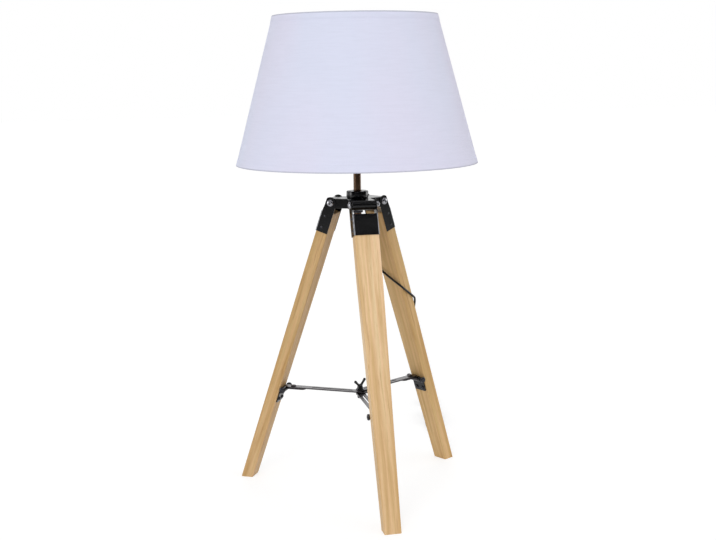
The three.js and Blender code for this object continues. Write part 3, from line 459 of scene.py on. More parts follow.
def upright_matrix(name):
    """From axes turned to a leg's side, X out from the lamp's axis and Z up."""
    return AXIS @ spun(LEG_AZIMUTHS[name], "Z")


def leg_matrix(name):
    """From a leg's own axes, X out of its outer face and Z along it from the foot."""
    return upright_matrix(name) @ at(FOOT_REACH, 0, 0) @ Matrix.Rotation(-LEAN, 4, "Y")


AXIS = at(0, AXIS_Y, 0)
Y_FOR_Z = Matrix(((1, 0, 0, 0), (0, 0, 1, 0), (0, 1, 0, 0), (0, 0, 0, 1)))
X_FOR_Z = Matrix(((0, 0, 1, 0), (0, 1, 0, 0), (1, 0, 0, 0), (0, 0, 0, 1)))


def shape_of(mesh):
    return [v.co.copy() for v in mesh.vertices], [tuple(f.vertices) for f in mesh.polygons]


def moved(shape, place):
    return [place @ Vector(v) for v in shape[0]], shape[1]


def fit(name, shape, place, node, look=None, stands_for_it=True):
    """A piece made of a shape, put in its place and dressed, that goes with a node or stands for it."""
    made = piece(name, *moved(shape, place))
    placed(made, node)
    if stands_for_it:
        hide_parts(node)
    dress(made, looks[look or slots[node]])
    return made


def tube(bore, radius, low, high, edge, sides):
    outline = [(bore, low), (radius, low), (radius, high), (bore, high)]
    return turned(eased(outline, edge, True), sides, True)


def plate(loops, low, high, edge=PLATE_EDGE):
    """A plate with rounded edges: its outline and holes in X and Y, from low to high in Z."""
    data = bpy.data.curves.new("outline", "CURVE")
    data.dimensions = "2D"
    data.fill_mode = "BOTH"
    data.extrude = (high - low) / 2 - edge
    data.bevel_depth = edge
    data.bevel_resolution = 1
    data.offset = -edge
    for loop in loops:
        line = data.splines.new("POLY")
        line.points.add(len(loop) - 1)
        for point, (x, y) in zip(line.points, loop):
            point.co = (x, y, 0, 1)
        line.use_cyclic_u = True
    maker = linked("outline", data)
    mesh = bpy.data.meshes.new_from_object(maker)
    shape = moved(shape_of(mesh), at(0, 0, (low + high) / 2))
    bpy.data.objects.remove(maker)
    bpy.data.curves.remove(data)
    bpy.data.meshes.remove(mesh)
    return shape


def united(*shapes):
    """One closed shape made of several that overlap."""
    makers = [piece("part", *shape) for shape in shapes]
    first = makers[0]
    for other in makers[1:]:
        union = first.modifiers.new("union", "BOOLEAN")
        union.operation = "UNION"
        union.solver = "EXACT"
        union.object = other
    bpy.context.view_layer.update()
    mesh = bpy.data.meshes.new_from_object(first.evaluated_get(bpy.context.evaluated_depsgraph_get()))
    shape = shape_of(mesh)
    bpy.data.meshes.remove(mesh)
    for maker in makers:
        bpy.data.objects.remove(maker)
    return shape


def arc(centre, radius, start, end, steps):
    """Points of an arc, its angles in degrees."""
    angles = [math.radians(start + (end - start) * step / steps) for step in range(steps + 1)]
    return [(centre[0] + radius * math.cos(a), centre[1] + radius * math.sin(a)) for a in angles]


def circle(centre, radius, sides):
    return arc(centre, radius, 0, 360, sides)[:-1]


def dome(radius, base, height, start=0, end=90, steps=8):
    """Outline of a dome over a base, between two of its angles, closed where it ends at the top."""
    points = [(radius * x, base + height * y) for x, y in arc((0, 0), 1, start, end, steps)]
    return points if end < 90 else [*points[:-1], (0, base + height)]


def round_ended(start, end, half):
    """A slot's outline along X, with round ends about start and end."""
    return arc((end, 0), half, -90, 90, 16) + arc((start, 0), half, 90, 270, 16)


def rounded_box(half_x, half_y, radius):
    points = []
    for x, y, start in ((1, -1, -90), (1, 1, 0), (-1, 1, 90), (-1, -1, 180)):
        points += arc((x * (half_x - radius), y * (half_y - radius)), radius, start, start + 90, 5)
    return points


def refined(node, name, edge=0, least=SHARP_ANGLE):
    """A finer copy of a CAD node: whole faces, rounded edges and smooth curves."""
    mesh = bpy.data.meshes.new(name)
    work = bmesh.new()
    work.from_mesh(frame["nodes"][node].data)
    bmesh.ops.remove_doubles(work, verts=work.verts, dist=WELD)
    flat = math.radians(FLAT_ANGLE)
    bmesh.ops.dissolve_limit(work, angle_limit=flat, verts=work.verts, edges=work.edges)
    work.to_mesh(mesh)
    work.free()
    tidy(mesh, REFINED_SHARP_ANGLE)
    made = linked(name, mesh)
    if edge:
        rounded(made, edge, least)
    evened(made)
    placed(made, node)
    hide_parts(node)
    return made


def smooth_line(points, step):
    """A centripetal Catmull-Rom line through points, resampled about every step."""
    points = [Vector(p) for p in points]
    ends = [2 * points[0] - points[1], *points, 2 * points[-1] - points[-2]]
    line = []
    for corners in zip(ends, ends[1:], ends[2:], ends[3:]):
        knots = [0]
        for near, far in zip(corners, corners[1:]):
            knots.append(knots[-1] + math.sqrt((far - near).length))
        count = max(1, round((corners[2] - corners[1]).length / step))
        for index in range(count):
            knot = knots[1] + (knots[2] - knots[1]) * index / count
            row = corners
            for spans in (((0, 1), (1, 2), (2, 3)), ((0, 2), (1, 3)), ((1, 2),)):
                shares = [(knot - knots[low]) / (knots[high] - knots[low]) for low, high in spans]
                row = [near.lerp(far, share) for near, far, share in zip(row, row[1:], shares)]
            line.append(row[0])
    line.append(points[-1])
    return line


def swept(line, radius, sides):
    """A closed tube along a line, its section carried along without twist."""
    vertices, faces = [], []
    across = None
    for index, point in enumerate(line):
        before, after = line[max(index - 1, 0)], line[min(index + 1, len(line) - 1)]
        ahead = (after - before).normalized()
        if across is None:
            across = Vector((0, 1, 0)).cross(ahead)
        across = (across - ahead * across.dot(ahead)).normalized()
        up = ahead.cross(across)
        for side in range(sides):
            angle = 2 * math.pi * side / sides
            vertices.append(point + radius * (across * math.cos(angle) + up * math.sin(angle)))
    for ring in range(len(line) - 1):
        for side in range(sides):
            after = (side + 1) % sides
            low, high = ring * sides, (ring + 1) * sides
            faces.append((low + side, low + after, high + after, high + side))
    faces.append(tuple(reversed(range(sides))))
    faces.append(tuple(range((len(line) - 1) * sides, len(line) * sides)))
    return vertices, faces


# Camera

def add_camera():
    data = bpy.data.cameras.new("camera")
    data.lens = CAMERA_LENS
    data.clip_end = 50
    camera = linked("camera", data)
    turn = spun(CAMERA_PAN, "Z") @ spun(90 - CAMERA_DROP, "X") @ spun(CAMERA_ROLL, "Z")
    camera.matrix_world = at(*CAMERA_PLACE) @ turn
    bpy.context.scene.camera = camera


add_camera()


# Mains cord

def run_half_width(run):
    cycle = run % (2 * RUNS_PER_LAYER)
    return HANK_INNER + abs(RUNS_PER_LAYER - cycle) * HANK_STEP / 2


def from_hank(x, y, z):
    turned_point = Matrix.Rotation(HANK_TURN, 3, "Z") @ Vector((x, y, z))
    return turned_point + Vector((*HANK_CENTRE, 0))


def hank_line():
    """Runs and folds of the hank: it spirals in, climbs a layer, spirals out, and so on."""
    runs = HANK_LAYERS * RUNS_PER_LAYER
    bottom = TIE_THICKNESS + SEAT_GAP + CORD_DIAMETER / 2
    steps = 8
    line = [from_hank(-HANK_RUN / 2 - CORD_DIAMETER, run_half_width(0), bottom)]
    for run in range(runs + 1):
        side = 1 if run % 2 == 0 else -1
        half = run_half_width(run)
        climbs = run % RUNS_PER_LAYER == 0 and 0 < run < runs
        layer = math.ceil(run / RUNS_PER_LAYER) - 1 if run else 0
        for step in range(steps + 1):
            share = step / steps
            x = side * HANK_RUN * (share - 0.5)
            pinch = HANK_PINCH * math.cos(math.pi * x / HANK_RUN) ** 2
            rise = (1 - math.cos(math.pi * share)) / 2 if climbs else 0
            line.append(from_hank(x, side * (half - pinch), bottom + (layer + rise) * HANK_STEP))
        if run == runs:
            break
        after = run_half_width(run + 1)
        radius, middle = (half + after) / 2, side * (half - after) / 2
        height = bottom + (layer + climbs) * HANK_STEP
        for step in range(1, steps):
            angle = math.pi * step / steps
            x = side * (HANK_RUN / 2 + radius * math.sin(angle))
            line.append(from_hank(x, middle + side * radius * math.cos(angle), height))
    return line


def tail_line():
    """From the top of the hank down to the plug's neck."""
    top = TIE_THICKNESS + SEAT_GAP + CORD_DIAMETER / 2 + (HANK_LAYERS - 1) * HANK_STEP
    offset = run_half_width(HANK_LAYERS * RUNS_PER_LAYER)
    start, end = HANK_RUN / 2 + CORD_DIAMETER, HANK_RUN / 2 + PLUG_FROM_HANK
    steps = 8
    line = []
    for step in range(steps + 1):
        share = step / steps
        fall = (1 - math.cos(math.pi * share)) / 2
        height = top + (PLUG_THICKNESS / 2 - top) * fall
        line.append(from_hank(start + (end - start) * share, offset * (1 - fall), height))
    return line


cord_line = [AXIS @ point for point in smooth_line([*CORD_ROUTE, *hank_line(), *tail_line()], CORD_STEP)]
cord = piece("mains_cord", *swept(cord_line, CORD_DIAMETER / 2, CORD_SIDES))
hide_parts("cord_to_leg", "cord_on_leg", "cord_hank", "cord_tail")
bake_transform(cord)
moulded_plug = refined("plug_body", "moulded_plug")
tie_band = refined("cord_tie", "tie_band", TIE_EDGE)


# Materials

class Nodes:
    """A node tree being made."""

    def __init__(self, tree):
        self.tree = tree

    def set(self, node, socket, value):
        """Gives a socket a number, a colour or another node's output."""
        entry = node.inputs[socket if isinstance(socket, int) else socket.replace("_", " ")]
        if isinstance(value, bpy.types.NodeSocket):
            self.tree.links.new(value, entry)
        elif isinstance(value, tuple) and entry.type == "RGBA" and len(value) == 3:
            entry.default_value = (*value, 1)
        else:
            entry.default_value = value

    def node(self, kind, settings=None, **inputs):
        made = self.tree.nodes.new("ShaderNode" + kind)
        for key, value in (settings or {}).items():
            setattr(made, key, value)
        for socket, value in inputs.items():
            self.set(made, socket, value)
        return made

    def place(self, scale=(1, 1, 1), rotation=(0, 0, 0), location=(0, 0, 0)):
        """Coordinates of the piece's own mesh, in metres, moved, turned and then scaled."""
        own = self.node("TexCoord").outputs["Object"]
        settings = {"vector_type": "TEXTURE"}
        own = self.node("Mapping", settings, Vector=own, Location=location, Rotation=rotation).outputs[0]
        return self.node("Mapping", Vector=own, Scale=scale).outputs[0]

    def noise(self, vector, scale, detail, roughness, distortion=0.0):
        return self.node("TexNoise", Vector=vector, Scale=scale, Detail=detail, Roughness=roughness,
                         Distortion=distortion).outputs["Fac"]

    def spread(self, value, low, high, to_low=0.0, to_high=1.0):
        made = self.node("MapRange")
        for socket, number in enumerate((value, low, high, to_low, to_high)):
            self.set(made, socket, number)
        return made.outputs[0]

    def math(self, operation, first, second=0.0):
        made = self.node("Math", {"operation": operation})
        self.set(made, 0, first)
        self.set(made, 1, second)
        return made.outputs[0]

    def mix(self, share, first, second, blend="MIX"):
        made = self.node("Mix", {"data_type": "RGBA", "blend_type": blend})
        for socket, value in ((0, share), (6, first), (7, second)):
            self.set(made, socket, value)
        return made.outputs[2]

    def seen_rays(self):
        """1 for rays from the camera, a glossy surface or through glass, and 0 for others."""
        rays = self.node("LightPath").outputs
        seen = self.math("MAXIMUM", rays["Is Camera Ray"], rays["Is Glossy Ray"])
        return self.math("MAXIMUM", seen, rays["Is Transmission Ray"])


class Look(Nodes):
    """A material being made, with its Principled shader."""

    def __init__(self, name, **numbers):
        self.material = bpy.data.materials.new(name)
        self.material.use_nodes = True
        super().__init__(self.material.node_tree)
        self.shader = self.tree.nodes["Principled BSDF"]
        self.finish(**numbers)

    def bump(self, height, distance, strength):
        return self.node("Bump", Height=height, Distance=distance, Strength=strength).outputs[0]

    def finish(self, **inputs):
        for socket, value in inputs.items():
            self.set(self.shader, socket, value)
        return self.material


def linear(red, green, blue):
    """A colour written as it looks on a screen, 0 to 255, for a shader."""
    def channel(value):
        share = value / 255
        return share / 12.92 if share <= 0.04045 else ((share + 0.055) / 1.055) ** 2.4
    return tuple(channel(value) for value in (red, green, blue))


def scaled(colour, share):
    return tuple(share * channel for channel in colour)


def beech(name, seed, tints_and_light):
    """Light beech with its grain along the leg, tinted one way at the foot and another at the top: the leg's
    own tone, and on the front leg painted light that lightens the top.
    """
    look = Look(f"beech_{name}", Specular_IOR_Level=0.3)
    turn = (0, -LEAN, math.radians(LEG_AZIMUTHS[name]))
    shift = (seed, 0, seed)

    def grain(scale, start, detail, roughness, distortion=0.0):
        return look.noise(look.place(scale, turn, start), 1, detail, roughness, distortion)

    broad = grain((60, 60, 1.6), shift, 3, 0.55, 0.3)
    streak = grain((170, 170, 1.1), (0, seed, 0), 2, 0.5, 0.2)
    cloud = grain((130, 130, 5), (seed, seed, 0), 4, 0.6, 0.5)
    stain = grain((190, 190, 9), (0, seed, seed), 3, 0.6, 0.8)
    pores = grain((1500, 1500, 45), shift, 3, 0.6)
    rings = look.node("TexWave", {"bands_direction": "Y"}, Vector=look.place((1, 1, 0.035), turn, shift),
                      Scale=36, Distortion=7, Detail=2, Detail_Scale=30).outputs["Fac"]
    cells = look.place((700, 700, 90), turn, shift)
    fleck = look.node("TexVoronoi", Vector=cells, Scale=1).outputs["Distance"]
    colour = look.mix(look.spread(broad, 0.34, 0.66), linear(208, 168, 114), linear(231, 203, 163))
    for value, low, high, most, shade in (
        (streak, 0.4, 0.6, 0.85, linear(229, 190, 149)),
        (cloud, 0.42, 0.68, 0.8, linear(194, 152, 98)),
        (rings, 0.55, 1.0, 0.22, linear(203, 160, 110)),
        (stain, 0.62, 0.74, 0.6, linear(166, 116, 62)),
        (pores, 0.52, 0.8, 0.45, linear(180, 136, 90)),
    ):
        colour = look.mix(look.spread(value, low, high, 0.0, most), colour, shade)
    colour = look.mix(look.spread(fleck, 0.0, 0.22, 0.3, 0.0), colour, linear(160, 114, 72))
    # Tint by height along the leg: the leg's own tone, and on the front leg a painted lighter top
    height = look.node("SeparateXYZ", Vector=look.place()).outputs["Z"]
    tint = look.mix(look.spread(height, *TINT_AND_LIGHT_HEIGHTS), *tints_and_light)
    colour = look.mix(1.0, colour, tint, "MULTIPLY")
    rough = look.spread(pores, 0.3, 0.8, 0.42, 0.62)
    return look.finish(Base_Color=colour, Roughness=rough, Normal=look.bump(pores, 0.0002, 0.35))


def painted_bend_highlight(look, leg):
    """Painted highlight along a sleeve's two bends, broken into patches: 0 to 1."""
    turn = (0, -LEAN, math.radians(LEG_AZIMUTHS[leg]))
    local = look.place((1, 1, 1), turn, tuple(leg_matrix(leg).translation))
    parts = look.node("SeparateXYZ", Vector=local).outputs
    reach = look.math("ADD", parts["X"], look.math("ABSOLUTE", parts["Y"]))
    corner = SLEEVE_FACE + SEAT_GAP
    line = look.spread(reach, corner - BEND_HIGHLIGHT_FROM, corner - BEND_HIGHLIGHT_FULL)
    patchy = look.noise(local, 240, 3, 0.6)
    return look.math("MULTIPLY", line, look.spread(patchy, 0.3, 0.55, 0.35, 1.0))


def enamel(name, colour, roughness, specular, leg=None):
    """Stove enamel on metal: slight orange peel, faint rubbed patches and, on a sleeve, a painted highlight
    along its bends.
    """
    look = Look(name, Specular_IOR_Level=specular)
    peel = look.noise(look.place(), 900, 2, 0.5)
    rubbed = look.noise(look.place(), 90, 4, 0.6)
    base = look.mix(look.spread(rubbed, 0.4, 0.75), colour, scaled(colour, 1.6))
    if leg:
        # Pale grey painted highlight along the sleeve's bends
        base = look.mix(painted_bend_highlight(look, leg), base, linear(150, 152, 158))
    rough = look.spread(rubbed, 0.3, 0.7, roughness - 0.04, roughness + 0.08)
    return look.finish(Base_Color=base, Roughness=rough, Normal=look.bump(peel, 0.00004, 0.5))


def brushed(name, dark, light, roughness, across, along):
    """Bare or plated metal with fine lines, so many a metre across the lamp's axis and along it."""
    look = Look(name, Metallic=1.0)
    lines = look.noise(look.place((across, across, along)), 1, 4, 0.6)
    stain = look.noise(look.place(), 120, 3, 0.6)
    base = look.mix(look.spread(lines, 0.3, 0.7), dark, light)
    base = look.mix(look.spread(stain, 0.5, 0.8, 0.0, 0.4), base, scaled(dark, 0.7))
    rough = look.spread(lines, 0.3, 0.7, max(0.05, roughness - 0.06), roughness + 0.08)
    return look.finish(Base_Color=base, Roughness=rough, Normal=look.bump(lines, 0.00003, 0.5))


def moulded(name, colour, roughness, specular):
    """Moulded plastic: a fine spark-eroded grain and a little unevenness."""
    look = Look(name, Specular_IOR_Level=specular)
    grain = look.noise(look.place(), 2600, 2, 0.6)
    uneven = look.noise(look.place(), 150, 3, 0.5)
    base = look.mix(look.spread(uneven, 0.35, 0.7), colour, scaled(colour, 0.85))
    rough = look.spread(uneven, 0.3, 0.7, roughness - 0.04, roughness + 0.06)
    return look.finish(Base_Color=base, Roughness=rough, Normal=look.bump(grain, 0.00003, 0.5))


def woven(name, colour):
    """Plain weave with slubs, laid round the shade's axis, with painted shade along its two rims."""
    look = Look(name, Roughness=0.85, Sheen_Weight=0.2, Sheen_Roughness=0.5, Specular_IOR_Level=0.2)
    own = look.node("SeparateXYZ", Vector=look.place(location=(0, AXIS_Y, 0)))
    x, y, z = own.outputs
    angle = look.math("ARCTAN2", y, x)
    round_it = look.math("MULTIPLY", angle, (SHADE_BOTTOM_RADIUS + SHADE_TOP_RADIUS) / 2)
    flat = look.node("CombineXYZ", X=round_it, Y=z).outputs[0]

    def threads(along):
        return look.math("SINE", look.math("MULTIPLY", along, 2 * math.pi / THREAD_PITCH))

    def streaks(scale, roughness, distortion=0.0):
        stretched = look.node("Mapping", Vector=flat, Scale=scale).outputs[0]
        return look.noise(stretched, 1, 3, roughness, distortion)

    over = look.math("MULTIPLY", threads(round_it), threads(z))
    slubs = look.math("MAXIMUM", streaks((40, 900, 1), 0.6), streaks((900, 40, 1), 0.6))
    crinkle = streaks((26, 330, 1), 0.65, 0.5)
    dark = scaled(colour, 0.9)
    light = tuple(min(1, channel) for channel in scaled(colour, 1.04))
    base = look.mix(look.spread(slubs, 0.45, 0.75), colour, light)
    base = look.mix(look.spread(over, -1, 1, 0.35, 0.0), base, dark)
    base = look.mix(look.spread(crinkle, 0.42, 0.62, 0.0, 0.5), base, dark)
    drift = look.noise(look.place((7, 7, 1.5)), 1, 2, 0.5)
    cool = tuple(c * share for c, share in zip(colour, (0.955, 0.995, 1.02)))
    warm = tuple(c * share for c, share in zip(colour, (1.01, 0.975, 1.0)))
    tint = look.mix(look.spread(drift, 0.38, 0.62), cool, warm)
    base = look.mix(0.6, base, tint)
    low, high = SHADE_BOTTOM, SHADE_BOTTOM + SHADE_HEIGHT
    # Painted shade: a dark line along the bottom and top rims
    rim_shade_low = look.spread(z, low, low + RIM_SHADE_WIDTH, 1.0, 0.0)
    edges = look.math("ADD", rim_shade_low, look.spread(z, high - RIM_SHADE_WIDTH, high))
    base = look.mix(look.math("MULTIPLY", edges, 0.75), base, scaled(colour, 0.42))
    height = look.math("ADD", look.math("MULTIPLY", over, 0.4), look.math("MULTIPLY", slubs, 1.6))
    height = look.math("ADD", height, look.math("MULTIPLY", crinkle, 1.5))
    return look.finish(Base_Color=base, Normal=look.bump(height, 0.0004, 0.6))


def plain_grain(name, colour, roughness):
    """Smooth laminate with a faint mottle."""
    look = Look(name, Specular_IOR_Level=0.3)
    mottle = look.noise(look.place(), 300, 3, 0.6)
    base = look.mix(look.spread(mottle, 0.35, 0.7), colour, scaled(colour, 0.93))
    rough = look.spread(mottle, 0.3, 0.7, roughness, roughness + 0.1)
    return look.finish(Base_Color=base, Roughness=rough)


BLACK = linear(6, 6, 8)
looks = {
    "black_metal": enamel("black_enamel", BLACK, 0.17, 0.32),
    "black_nickel": brushed("black_nickel", linear(132, 132, 136), linear(164, 164, 168), 0.15, 900, 900),
    "black_zinc": brushed("black_zinc", linear(46, 46, 49), linear(74, 74, 78), 0.24, 900, 900),
    "dark_rod": brushed("bronze_rod", linear(70, 53, 41), linear(86, 68, 54), 0.3, 1800, 20),
    "dark_steel": brushed("gunmetal", linear(54, 52, 54), linear(84, 81, 83), 0.32, 900, 900),
    "nickel": brushed("nickel", linear(178, 176, 172), linear(214, 212, 208), 0.28, 800, 800),
    "brass": brushed("brass", linear(176, 134, 66), linear(214, 172, 98), 0.3, 800, 800),
    "wire": enamel("white_wire", linear(226, 226, 230), 0.35, 0.4),
    "black_plastic": moulded("black_plastic", linear(26, 26, 28), 0.45, 0.35),
    "white_plastic": moulded("white_plastic", linear(232, 230, 224), 0.45, 0.4),
    "frosted_glass": plain_grain("frosted_glass", linear(244, 242, 236), 0.35),
    "fabric": woven("shade_weave", linear(232, 233, 251)),
    "laminate": plain_grain("shade_laminate", linear(238, 238, 242), 0.5),
    "cord": moulded("cord_sheath", linear(14, 13, 13), 0.4, 0.3),
}
for index, name in enumerate(LEG_AZIMUTHS):
    looks[f"wood_{name}"] = beech(name, 0.37 * (index + 1), WOOD_TINTS_AND_PAINTED_LIGHT[name])
    looks[f"sleeve_{name}"] = enamel(f"sleeve_enamel_{name}", BLACK, 0.17, 0.32, name)


for name, made in frame["nodes"].items():
    dress(made, looks[name.replace("leg", "wood") if slots[name] == "wood" else slots[name]])
dress(cord, looks["cord"])
dress(moulded_plug, looks["black_plastic"])
dress(tie_band, looks["black_plastic"])


# Shade

def shade_radius(rise, inset):
    slope = (SHADE_TOP_RADIUS - SHADE_BOTTOM_RADIUS) / SHADE_HEIGHT
    return SHADE_BOTTOM_RADIUS + slope * rise - inset


def drum(outer, inner, low, high, rows):
    """Outline of a tapered shell, from one height above the shade's bottom to another."""
    rises = [low + (high - low) * row / rows for row in range(rows + 1)]
    outside = [(shade_radius(rise, outer), SHADE_BOTTOM + rise) for rise in rises]
    inside = [(shade_radius(rise, inner), SHADE_BOTTOM + rise) for rise in reversed(rises)]
    return outside + inside


def ring_wire(name, rise, node):
    lining_in = HEM_STANDS + FABRIC_THICKNESS + LINER_THICKNESS
    slant = math.atan((SHADE_BOTTOM_RADIUS - SHADE_TOP_RADIUS) / SHADE_HEIGHT)
    radius = shade_radius(rise, lining_in) - (WIRE_RADIUS + SEAT_GAP) / math.cos(slant)
    section = circle((radius, SHADE_BOTTOM + rise), WIRE_RADIUS, 12)
    wire = piece(name, *moved(turned(section, SHADE_SIDES, True), AXIS))
    placed(wire, node)
    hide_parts(node)


def shade():
    fabric_in = HEM_STANDS + FABRIC_THICKNESS
    low, high = SHADE_SEAM_INSET, SHADE_HEIGHT - SHADE_SEAM_INSET
    fabric = turned(drum(HEM_STANDS, fabric_in, low, high, 24), SHADE_SIDES, True)
    cover = fit("shade_fabric", fabric, AXIS, "shade_cover")
    liner = turned(drum(fabric_in, fabric_in + LINER_THICKNESS, low, high, 12), SHADE_SIDES, True)
    fit("shade_lining", liner, AXIS, "shade_cover", "laminate", False)
    for name, start in (("shade_hem_bottom", 0), ("shade_hem_top", SHADE_HEIGHT - HEM_HEIGHT)):
        tape = eased(drum(0, HEM_STANDS, start, start + HEM_HEIGHT, 1), HEM_STANDS, True)
        fit(name, turned(tape, SHADE_SIDES, True), AXIS, "shade_cover", "fabric", False)
    ring_wire("shade_wire_top", SHADE_HEIGHT - WIRE_FROM_EDGE, "shade_top_wire")
    ring_wire("shade_wire_bottom", WIRE_FROM_EDGE, "shade_bottom_wire")


# Legs with their sleeves, screws and hinges, and the head

def sleeve_sheet():
    """Vertices and faces of a sleeve's middle surface, in the leg's own axes."""
    front = SEAT_GAP + SLEEVE_WALL / 2
    half = LEG_HALF_WIDTH + front
    back = -LEG_THICKNESS - SEAT_GAP
    centre = -LEG_THICKNESS / 2
    ear_steps, bend_steps = 20, 6
    side = [(back, -SLEEVE_SHOULDER_DROP)]
    for step in range(ear_steps + 1):
        angle = math.pi * (1 - step / ear_steps)
        side.append((centre + SLEEVE_EAR * math.cos(angle), SLEEVE_EAR * math.sin(angle)))
    side.append((centre + SLEEVE_EAR + SLEEVE_EAR_STEP, -SLEEVE_SHOULDER_DROP))
    bend_start = front - SLEEVE_BEND
    columns = [(x, half, top) for x, top in side if x < bend_start]
    for step in range(bend_steps + 1):
        angle = math.pi / 2 * step / bend_steps
        x = bend_start + SLEEVE_BEND * math.sin(angle)
        y = half - SLEEVE_BEND + SLEEVE_BEND * math.cos(angle)
        share = min(1, 3 * step / bend_steps)
        top = -SLEEVE_SHOULDER_DROP * (1 - share) - SLEEVE_PLATE_DROP * share
        columns.append((x, y, top))
    columns += [(x, -y, top) for x, y, top in reversed(columns)]
    rows = 4
    vertices, faces = [], []
    low = -SLEEVE_DROP
    for x, y, top in columns:
        for row in range(rows + 1):
            vertices.append(Vector((x, y, HINGE_ALONG + low + (top - low) * row / rows)))
    for column in range(len(columns) - 1):
        for row in range(rows):
            a = column * (rows + 1) + row
            b = a + rows + 1
            faces.append((a, b, b + 1, a + 1))
    return vertices, faces


def screw_head(radius, rise, sink):
    """A domed screw head with a cross recess, its shank end below zero."""
    depth = rise * 0.6
    crown = [(radius, 0), (radius * 0.92, rise * 0.5), (radius * 0.66, rise * 0.86), (radius * 0.4, rise)]
    recess = [(radius * 0.3, rise - depth * 0.2, 4), (radius * 0.16, rise - depth, 4), (0, rise - depth)]
    return turned([(0, -sink), (radius * 0.5, -sink), (radius * 0.5, 0), *crown, *recess], 24)


def hinge_bolt_shape():
    """A button head with a hexagon socket, on its shank."""
    face = SLEEVE_FACE + SEAT_GAP
    end = face + HINGE_NUT_HEIGHT - HINGE_NUT_DOME
    top = face + HINGE_HEAD_HEIGHT
    floor = top - HINGE_SOCKET_DEPTH
    button = dome(HINGE_HEAD_RADIUS, face, HINGE_HEAD_HEIGHT, 12, 64, 6)
    return turned([
        (0, -end), (HINGE_BOLT_RADIUS, -end),
        (HINGE_BOLT_RADIUS, face), (HINGE_HEAD_RADIUS, face),
        *button,
        (HINGE_SOCKET_RADIUS * 1.28, top),
        (HINGE_SOCKET_RADIUS * 1.12, top - HINGE_SOCKET_RIM),
        (HINGE_SOCKET_RADIUS, top - HEX_CHAMFER, 6),
        (HINGE_SOCKET_RADIUS, floor, 6), (0, floor),
    ], 48)


def hinge_nut_shape():
    """A cap nut: a hexagon with turned corners and a dome."""
    face = SLEEVE_FACE + SEAT_GAP
    flat, top = HINGE_NUT_FLAT, face + HINGE_NUT_HEIGHT
    hole = HINGE_BOLT_RADIUS + TURN_GAP
    bore_end = top - HINGE_NUT_DOME + SEAT_GAP
    return turned([
        (0, bore_end), (hole, bore_end), (hole, face), (flat, face),
        (flat, face + HEX_CHAMFER, 6), (flat, top - HEX_CHAMFER, 6), (flat, top),
        *dome(flat * 0.97, top, HINGE_NUT_DOME, 8),
    ], 48)


def leg(name, side):
    """A leg with its sleeve, its hinge bolt on one side and the cap nut on the other."""
    place = leg_matrix(name)
    wooden = refined(f"leg_{name}", f"beech_leg_{name}", LEG_ROUNDING, 20)
    dress(wooden, looks[f"wood_{name}"])
    node = f"sleeve_{name}"
    sheet = fit(f"sleeve_sheet_{name}", sleeve_sheet(), place, node, node)
    wall = sheet.modifiers.new("wall", "SOLIDIFY")
    wall.thickness = SLEEVE_WALL
    wall.offset = 0
    rounded(sheet, SLEEVE_EDGE, 60)
    evened(sheet)
    hinge = upright_matrix(name) @ at(HINGE_RADIUS, 0, HINGE_HEIGHT)
    out = hinge @ spun(-side * 90, "X")
    back = hinge @ spun(side * 90, "X")
    fit(f"button_bolt_{name}", hinge_bolt_shape(), out, f"hinge_bolt_{name}", "black_nickel")
    fit(f"cap_nut_{name}", hinge_nut_shape(), back, f"hinge_nut_{name}", "black_nickel")
    for hand, across in (("a", 1), ("b", -1)):
        for index, drop in enumerate(SLEEVE_SCREW_DROPS):
            shape = screw_head(SLEEVE_SCREW_RADIUS, SLEEVE_SCREW_RISE, SLEEVE_WALL / 2)
            head = at(SLEEVE_SCREW_INSET, across * SLEEVE_FACE, HINGE_ALONG - drop)
            stand = place @ head @ spun(-across * 90, "X")
            fit(f"sleeve_screw_{name}_{hand}{index}", shape, stand, node, "black_zinc", False)


def head():
    dress(refined("tripod_head", "cast_head", HEAD_EDGE, 20), looks["black_metal"])
    bottom = HEAD_TOP + SEAT_GAP
    bore = ROD_RADIUS + SEAT_GAP
    collar = tube(bore, COLLAR_RADIUS, bottom, bottom + COLLAR_HEIGHT, COLLAR_EDGE, 96)
    fit("collar", collar, AXIS, "head_collar")


# Rod, its washer and locknut, and the cord's bushing

def rod():
    bore = ROD_RADIUS + SEAT_GAP
    washer_top = HEAD_BOTTOM - SEAT_GAP
    washer_bottom = washer_top - ROD_WASHER_THICKNESS
    nut_top = washer_bottom - SEAT_GAP
    nut_bottom = nut_top - ROD_NUT_HEIGHT
    hollow = tube(ROD_BORE, ROD_RADIUS, ROD_BOTTOM, HOLDER_BASE + ROD_IN_HOLDER, ROD_EDGE, 64)
    washer = tube(bore, ROD_WASHER_RADIUS, washer_bottom, washer_top, WASHER_EDGE, 64)
    nut = turned([
        (bore, nut_bottom), (ROD_NUT_FLAT, nut_bottom),
        (ROD_NUT_FLAT, nut_bottom + ROD_NUT_CHAMFER, 6), (ROD_NUT_FLAT, nut_top - ROD_NUT_CHAMFER, 6),
        (ROD_NUT_FLAT, nut_top), (bore, nut_top),
    ], 48, True)
    fit("rod_tube", hollow, AXIS, "lamp_rod")
    fit("rod_flat_washer", washer, AXIS, "rod_washer", "black_zinc")
    fit("rod_hex_nut", nut, AXIS, "rod_locknut", "black_zinc")


